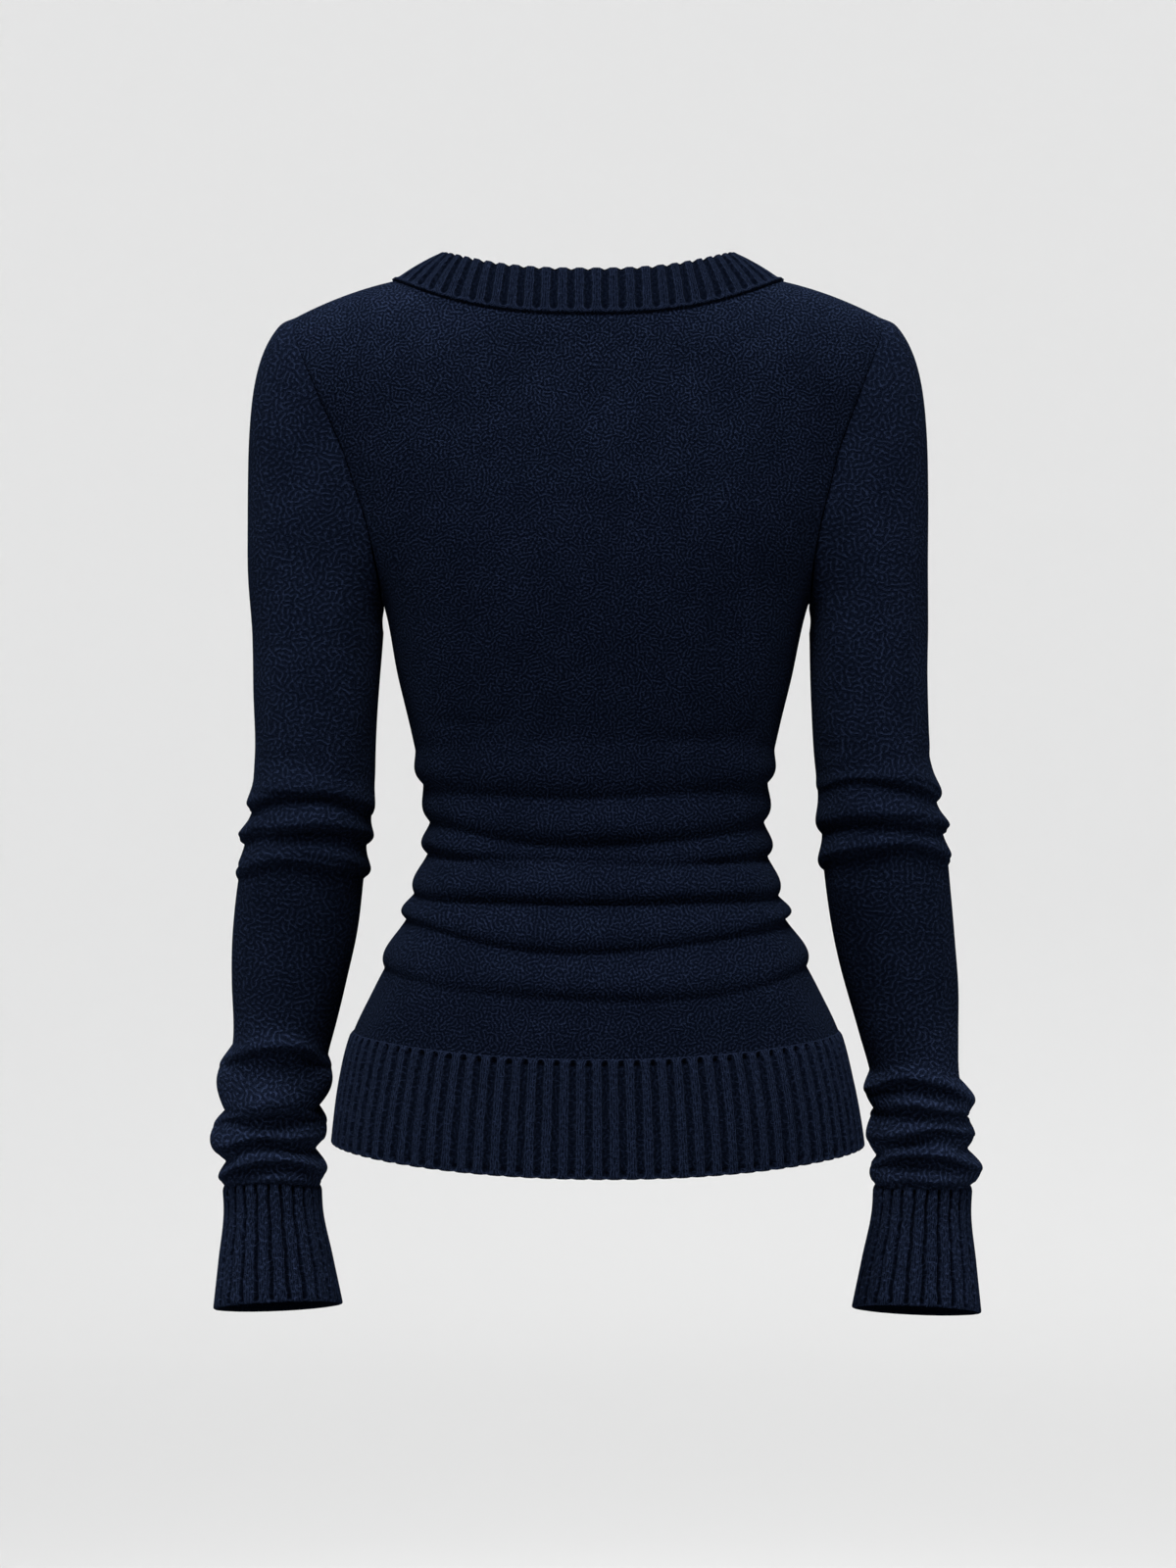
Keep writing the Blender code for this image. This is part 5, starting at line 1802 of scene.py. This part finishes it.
@dataclass(frozen=True)
class Sleeve:
    """A set-in sleeve: it leaves the armhole as a fan of rings and follows the arm to the wrist.

    It starts above the panel's face, or past its edge where the cosine of its first step against
    the way past the seam is high. Past_seam gives the two cosines between which that changes. Folds
    die out over settles above the wrist, where rows bow like the cuff's seam. Each crease comes
    again as an echo: turned, lower and fainter. Row_shares is the share of the arm's rows above
    each of row_heights, and fan the x and height where the fan meets the shoulder's curve.
    """

    side: Side
    fan_rows: int = 60
    arm_rows: int = 240
    inner_every: int = 4
    fan_stand: float = 0.0011
    past_seam: tuple[float, float] = (-0.3, 0.5)
    crease: float = 0.0013
    crease_width: float = 0.0024
    wrist: float = -0.575
    settles: float = 0.0035
    bowed_from: float = 0.050
    waves_from: tuple[float, float] = (0.15, 0.22)
    wave_turn: float = 1.7
    echo_turn: float = 0.35 * math.pi
    echo_drop: float = 0.003
    echo_share: float = 0.8
    row_heights: tuple[float, ...] = (-0.2225, -0.3020, -0.3850, -0.4600, -0.5750)
    row_shares: tuple[float, ...] = (0.0, 0.14, 0.46, 0.58, 1.0)
    fan: tuple[Knot, ...] = (
        Knot(0.1948, -0.0285),
        Knot(0.2046, -0.0445),
        Knot(0.2108, -0.0670),
        Knot(0.2140, -0.0980),
        Knot(0.2150, -0.1380),
        Knot(0.2148, -0.1810),
    )

    def loop(self, back: Panel, front: Panel) -> tuple[Array, Array]:
        """The armhole's seam line and normals: from the underarm up the back and down the front."""
        edge = -1 if self.side is Side.LEFT else 0
        low = back.armpit_row - 1
        up, up_facing = back.grid[low:, edge], back.facing[low:, edge]
        fall, fall_facing = front.grid[low:, 0][::-1], front.facing[low:, 0][::-1]
        loop = np.concatenate([up, fall[1:-1]])
        loop[[0, len(up) - 1], 1] = 0
        return loop, np.concatenate([up_facing, fall_facing[1:-1]])

    def fan_rings(self, loop: Array, angle: Array) -> Array:
        """Rings that turn from the armhole's slanting loop to the level first ring of the arm.

        Each is a blend of the loop, carried along by its ends, and of an oval between the underarm's
        line and the shoulder's curve.

        Args:
            loop: the armhole's seam line.
            angle: each column's angle round the arm, from the underarm.

        Returns:
            The rings after the loop, up to and without the arm's first.
        """
        hand, first = self.side.value, ARM_RINGS[self.side][0]
        under, tip = loop[0], loop[len(loop) // 2]
        middle = (under + tip) / 2
        axis = unit(tip - middle)
        offset = loop - middle
        loop_axial = offset @ axis / np.linalg.norm(tip - middle)
        loop_bow = offset @ np.cross(axis, [0, 1, 0])
        deepest = np.where(offset[:, 1] >= 0, offset[:, 1].max(), -offset[:, 1].min())
        share = np.linspace(0, 1, self.fan_rows + 1)[1:-1]
        level = ramp(share, 0, 1)[:, None]
        start_x = abs(under[0]) + SEAM_GAP
        inner_x = start_x + (first.inner - start_x) * share + self.fan_stand * np.sin(math.pi * share)
        inner = points(hand * inner_x, 0, under[2] + (first.height - under[2]) * share)
        knots = np.linspace(0, 1, len(self.fan) + 2)
        outer_x = through(share, knots, [abs(tip[0]), *column(self.fan, "at"), first.outer])
        outer_z = through(share, knots, [tip[2], *column(self.fan, "value"), first.height])
        outer = points(hand * outer_x, 0, outer_z)
        reach = (outer - inner) / 2
        bow_way = np.cross(unit(reach), [0, 1, 0])
        axial = (1 - level) * loop_axial - level * np.cos(angle)
        bow = (1 - level) * loop_bow
        rings = (outer + inner)[:, None] / 2 + axial[..., None] * reach[:, None]
        rings = rings + bow[..., None] * bow_way[:, None]
        across = (1 - level) * offset[:, 1] / deepest + level * np.sin(angle)
        rings[..., 1] += across * ((1 - level) * deepest + level * first.depth)
        return rings

    def arm_rings(self, angle: Array) -> Array:
        """Level rings down the arm, each an oval between its outermost and innermost points."""
        table = ARM_RINGS[self.side]
        shares = np.linspace(0, 1, self.arm_rows + 1)
        height = np.interp(shares, self.row_shares, self.row_heights)[:, None]
        outer, inner, middle, depth = (
            through(height, column(table, "height"), column(table, name))
            for name in ("outer", "inner", "middle", "depth")
        )
        x = self.side.value * ((outer + inner) / 2 - (outer - inner) / 2 * np.cos(angle))
        bowed = ramp(-height, -self.wrist - self.bowed_from, -self.wrist)
        level = height + bowed * (wrist_seam(self.side, self.wrist, angle) - self.wrist)
        return points(x, middle + depth * np.sin(angle), level)

    def rise(self, turn: Array, height: Array) -> Array:
        """How far folds stand out: puffs and waves, less the creases.

        Args:
            turn: angle from the back of the arm, towards its outer side.
            height: height of each point.

        Returns:
            The rise away from the arm's axis.
        """
        waves = unevenness(turn + self.wave_turn * self.side.value, height)
        total = waves * ramp(-height, *self.waves_from)
        for gathers in ARM_GATHERS[self.side]:
            total = total + gathers.rise(turn, height)
        circle = 2 * math.pi
        wrapped = (turn + math.pi) % circle - math.pi
        echoed = (turn + self.echo_turn) % circle - math.pi
        for crease in ARM_CREASES[self.side]:
            total = total - crease.pressed(wrapped, height)
            total = total - self.echo_share * crease.pressed(echoed, height + self.echo_drop)
        return total

    def seam_way(self, loop: Array, facing: Array) -> Array:
        """At each point of the armhole the direction away from the panel, square to the seam."""
        run = unit(np.roll(loop, -1, axis=0) - np.roll(loop, 1, axis=0))
        way = unit(np.cross(run, facing))
        return way if np.sum(way * (loop.mean(axis=0) - loop)) > 0 else -way

    def shell(self, back: Panel, front: Panel) -> Shell:
        """The sleeve as a wall: its start at the armhole, the fan, the arm and its folds.

        Args:
            back: the back panel.
            front: the front panel on the same side.

        Returns:
            The shell.
        """
        hand = self.side.value
        loop, loop_facing = self.loop(back, front)
        angle = np.arange(len(loop)) * 2 * math.pi / len(loop)
        grid = np.concatenate([self.fan_rings(loop, angle), self.arm_rings(angle)])
        outward = points(-hand * np.cos(angle), np.sin(angle), 0)
        rise = self.rise(angle - math.pi / 2, grid[..., 2])
        above_seam = grid[..., 2] - wrist_seam(self.side, self.wrist, angle)
        grid += outward * (rise * ramp(above_seam, 0, self.settles))[..., None]
        way = self.seam_way(loop, loop_facing)
        leaving = np.sum(unit(grid[2] - loop) * way, axis=1)
        past = ramp(leaving, *self.past_seam)[:, None]
        start = loop + SEAM_GAP * unit(past * way + (1 - past) * loop_facing)
        grid = np.concatenate([start[None], grid])
        facing = normals(grid, around=True)
        flatten(facing, np.s_[-1, :], 2)
        grid[-1, :, 2] += SEAM_GAP
        down = distances(grid)
        shown = ramp(-loop[:, 2], *ARMHOLE_SHOWS)
        relief = -self.crease * shown * np.exp(-((down / self.crease_width) ** 2))
        sunk, risen = Edges(sewn=("last_row",)).soften(grid, True, self.inner_every)
        outer = grid + facing * (relief - sunk)[..., None]
        inner = grid - WALL * facing
        clear = np.sum((inner[0] - loop) * way, axis=1)
        inner[0] += (np.clip(SEAM_GAP - clear, 0, None) * (leaving > 0))[:, None] * way
        inner = plain_side(inner, facing, risen, self.inner_every)
        folds = ARM_GATHERS[self.side]
        # painted shade under the elbow and wrist puffs, stored in the shell's hollow
        shade = sum(gathers.shade(angle - math.pi / 2, grid[..., 2]) for gathers in folds)
        name = f"sleeve_{self.side.word}_knit"
        return Shell(name, outer, inner, shade, np.zeros(down.shape), True)


class CuffLine(NamedTuple):
    """A cuff's axis and ends, and how much higher its lower edge is on the inner side."""

    top_x: float
    bottom_x: float
    top_y: float
    bottom_y: float
    top: float
    bottom: float
    inner_rise: float


CUFF_LINES: dict[Side, CuffLine] = {
    Side.LEFT: CuffLine(0.2019, 0.1983, -0.023, -0.026, -0.575, -0.6523, 0.0020),
    Side.RIGHT: CuffLine(0.2140, 0.2102, -0.023, -0.026, -0.575, -0.6548, 0.0020),
}


@dataclass(frozen=True)
class Cuff:
    """A flared ribbed cuff whose lower edge slants down towards the front.

    Its ribs fill the round at rib_radius, and rings gives its radius by the share of its length.
    """

    side: Side
    ribs: int = 24
    rows: int = 44
    tilt: float = 0.0087
    rib_radius: float = 0.0352
    top: float = 0.0013
    valley: float = -0.0015
    bank: tuple[float, float] = (0.05, 0.18)
    flat_radius: float = 0.036
    length: float = 0.078
    rings: tuple[Knot, ...] = (
        Knot(0.0, 0.0304),
        Knot(0.2, 0.0304),
        Knot(0.6, 0.0352),
        Knot(1.0, 0.0402),
    )

    def band(self) -> Band:
        """The cuff: rings round a straight axis, wider towards the hand."""
        hand, line = self.side.value, CUFF_LINES[self.side]
        pitch = 2 * math.pi * self.rib_radius / self.ribs
        rib = Rib(pitch, top=self.top, valley=self.valley, bank=self.bank)
        place = rib.places(self.ribs)[:-1]
        angle = place / self.ribs * 2 * math.pi
        share = edged(self.rows)[:, None]
        radius = curve(share, self.rings)
        x = hand * (line.top_x + (line.bottom_x - line.top_x) * share) + radius * np.cos(angle)
        y = line.top_y + (line.bottom_y - line.top_y) * share + radius * np.sin(angle)
        slant = self.tilt * np.sin(angle) - hand * line.inner_rise * np.cos(angle)
        top = wrist_seam(self.side, line.top, angle) + TUCK
        base = points(x, y, top + (line.bottom - top + slant) * share)
        facing = normals(base, around=True)
        flatten(facing, np.s_[0, :], 2)
        name = f"cuff_{self.side.word}_rib"
        flat = (2 * math.pi * self.flat_radius, self.length)
        return Band(name, base, facing, rib, place, flat, CUFF_CHANNELS, closed=True)


# The garment and its studio


@dataclass
class WrapSweater:
    """All the pieces of the sweater, each dressed and set on the frame."""

    form: BodyForm = field(default_factory=BodyForm)
    wrap: Wrap = field(default_factory=Wrap)

    def add(self, shell: Shell, knit: FineKnit | RibKnit) -> bpy.types.Object:
        """Builds one shell in place of the frame's solid whose name its own name starts with.

        Args:
            shell: the piece's shape.
            knit: its knit.

        Returns:
            The piece.
        """
        node = shell.name.rsplit("_", 1)[0]
        piece = shell.build(replace(knit, name=f"{node}_wool").material())
        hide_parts(node)
        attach(piece, "root")
        LOG.info("%s: %d faces", piece.name, len(piece.data.polygons))
        return piece

    def add_panel(self, panel: Panel) -> None:
        """Adds a plain panel."""
        piece = self.add(panel.shell(), BODY_KNIT)

    def add_sleeve(self, side: Side, back: Panel, front: Panel) -> None:
        """Adds a sleeve, which hangs from the back, and its cuff."""
        piece, cut = self.add(Sleeve(side).shell(back, front), SLEEVE_KNIT), SLEEVE_CUT
        self.add_band(Cuff(side).band(), CUFF_KNIT)

    def add_band(self, band: Band, knit: RibKnit) -> None:
        """Adds a ribbed piece, which hangs from another piece, with its knit fitted to its ribs."""
        rib = band.rib
        fitted = replace(knit, bank=rib.bank[1] * rib.pitch, half_rib=rib.pitch / 2)
        piece = self.add(band.shell(), fitted)

    def build(self) -> None:
        """Builds the sweater from the panels to the bands that grow from them."""
        cutter = PanelCutter(self.form)
        back = cutter.back()
        front_right = cutter.front(Side.RIGHT, self.wrap.over_reach, self.wrap.over)
        front_left = cutter.front(Side.LEFT, self.wrap.under_reach, None)
        for panel in (back, front_right, front_left):
            self.add_panel(panel)
        self.add_sleeve(Side.LEFT, back, front_left)
        self.add_sleeve(Side.RIGHT, back, front_right)
        hem, neck = HemBand(self.form), NeckBand(self.form)
        back_hem = hem.band("hem_band_back_rib", Face.BACK, None)
        front_hem = hem.band("hem_band_front_rib", Face.FRONT, self.wrap.hem)
        over_band = neck.front(front_right, Side.RIGHT, self.wrap.over)
        under_band = neck.front(front_left, Side.LEFT, None)
        self.add_band(back_hem, HEM_KNIT)
        self.add_band(front_hem, HEM_KNIT)
        self.add_band(neck.back(back), NECK_KNIT)
        self.add_band(over_band, NECK_KNIT)
        self.add_band(under_band, NECK_KNIT)


class SoftLight(NamedTuple):
    """A square soft light: where it stands, its width, power, spread in degrees and colour."""

    name: str
    place: tuple[float, float, float]
    width: float
    power: float
    spread: float
    colour: tuple[float, float, float]


@dataclass(frozen=True)
class Studio:
    """A pale bowl of floor and wall, soft lights, and a camera behind the sweater's back.

    The camera stands at a distance behind its target, and takes in frame_height there.
    """

    target: tuple[float, float, float] = (0.0, 0.0, -0.318)
    distance: float = 2.2
    frame_height: float = 0.992
    sensor: float = 36.0
    floor: float = -1.30
    inner_radius: float = 1.0
    floor_radius: float = 3.6
    wall_radius: float = 6.0
    wall_height: float = 4.6
    bend_steps: int = 16
    around_steps: int = 96
    world: Colour = (0.985, 0.995, 1.0, 1.0)
    world_strength: float = 0.80
    lights: tuple[SoftLight, ...] = (
        SoftLight("key", (0.25, 1.5, 2.4), 1.2, 62.0, 70.0, (1.0, 1.0, 1.0)),
        SoftLight("left", (2.3, 0.7, 0.5), 1.2, 7.0, 70.0, (0.97, 0.985, 1.0)),
        SoftLight("right", (-2.3, 0.7, 0.5), 1.2, 7.0, 70.0, (0.97, 0.985, 1.0)),
        SoftLight("front", (0.2, -1.5, 2.4), 1.2, 52.0, 70.0, (1.0, 1.0, 1.0)),
    )

    def add_floor(self) -> None:
        """A bowl of revolution: a flat disc that turns up as a quarter circle into a wall."""
        bend = self.wall_radius - self.floor_radius
        turn = np.linspace(0, math.pi / 2, self.bend_steps + 1)
        curve = self.floor_radius + bend * np.sin(turn)
        radius = np.concatenate([[self.inner_radius], curve, [self.wall_radius]])[:, None]
        rise = np.concatenate([[0.0], bend * (1 - np.cos(turn)), [self.wall_height]])[:, None]
        around = np.linspace(0, 2 * math.pi, self.around_steps + 1)[:-1]
        rings = points(radius * np.cos(around), radius * np.sin(around), self.floor + rise)
        spots = np.concatenate([rings.reshape(-1, 3), [[0.0, 0.0, self.floor]]])
        rows, steps = rings.shape[:2]
        number = np.arange(rows * steps).reshape(rows, steps)
        after = np.roll(number, -1, axis=1)
        quads = np.stack([number[:-1], after[:-1], after[1:], number[1:]], axis=-1).reshape(-1, 4)
        centre = np.stack([np.full(steps, rows * steps), after[0], number[0]], axis=-1)
        mesh = bpy.data.meshes.new("floor")
        mesh.from_pydata(spots.tolist(), [], quads[:, ::-1].tolist() + centre[:, ::-1].tolist())
        mesh.shade_smooth()
        mesh.materials.append(PlainStage().material())
        floor = bpy.data.objects.new("floor", mesh)
        bpy.context.scene.collection.objects.link(floor)

    def add_lights(self) -> None:
        """Area lights turned to the sweater, and an even pale world."""
        scene = bpy.context.scene
        for soft in self.lights:
            data = bpy.data.lights.new(soft.name, "AREA")
            data.shape = "SQUARE"
            data.size = soft.width
            data.energy = soft.power
            data.spread = math.radians(soft.spread)
            data.color = soft.colour
            light = bpy.data.objects.new(soft.name, data)
            light.location = soft.place
            away = np.array(soft.place) - np.array(self.target)
            pitch = math.atan2(math.hypot(away[0], away[1]), away[2])
            light.rotation_euler = (pitch, 0, math.atan2(away[0], -away[1]))
            scene.collection.objects.link(light)
        world = bpy.data.worlds.new("pale_studio")
        world.use_nodes = True
        background = world.node_tree.nodes["Background"]
        background.inputs["Color"].default_value = self.world
        background.inputs["Strength"].default_value = self.world_strength
        scene.world = world

    def add_camera(self) -> None:
        """A level camera straight behind the back, whose frame is as high as frame_height there."""
        scene = bpy.context.scene
        data = bpy.data.cameras.new("camera")
        data.sensor_width = self.sensor
        data.lens = self.sensor * self.distance / self.frame_height
        camera = bpy.data.objects.new("camera", data)
        x, y, z = self.target
        camera.location = (x, y + self.distance, z)
        camera.rotation_euler = (math.pi / 2, 0, math.pi)
        scene.collection.objects.link(camera)
        scene.camera = camera
        scene.view_settings.view_transform = "Standard"

    def build(self) -> None:
        """Sets up the floor, the lights and the camera."""
        self.add_floor()
        self.add_lights()
        self.add_camera()


def corners(bounds: tuple) -> list[list[float]]:
    """A box's lowest and highest corner as plain lists."""
    return [[float(value) for value in corner] for corner in bounds]


def main() -> None:
    """Loads the frame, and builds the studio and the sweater."""
    logging.basicConfig(level=logging.INFO, format="%(message)s")
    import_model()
    Studio().build()
    WrapSweater().build()


if __name__ == "__main__":
    main()
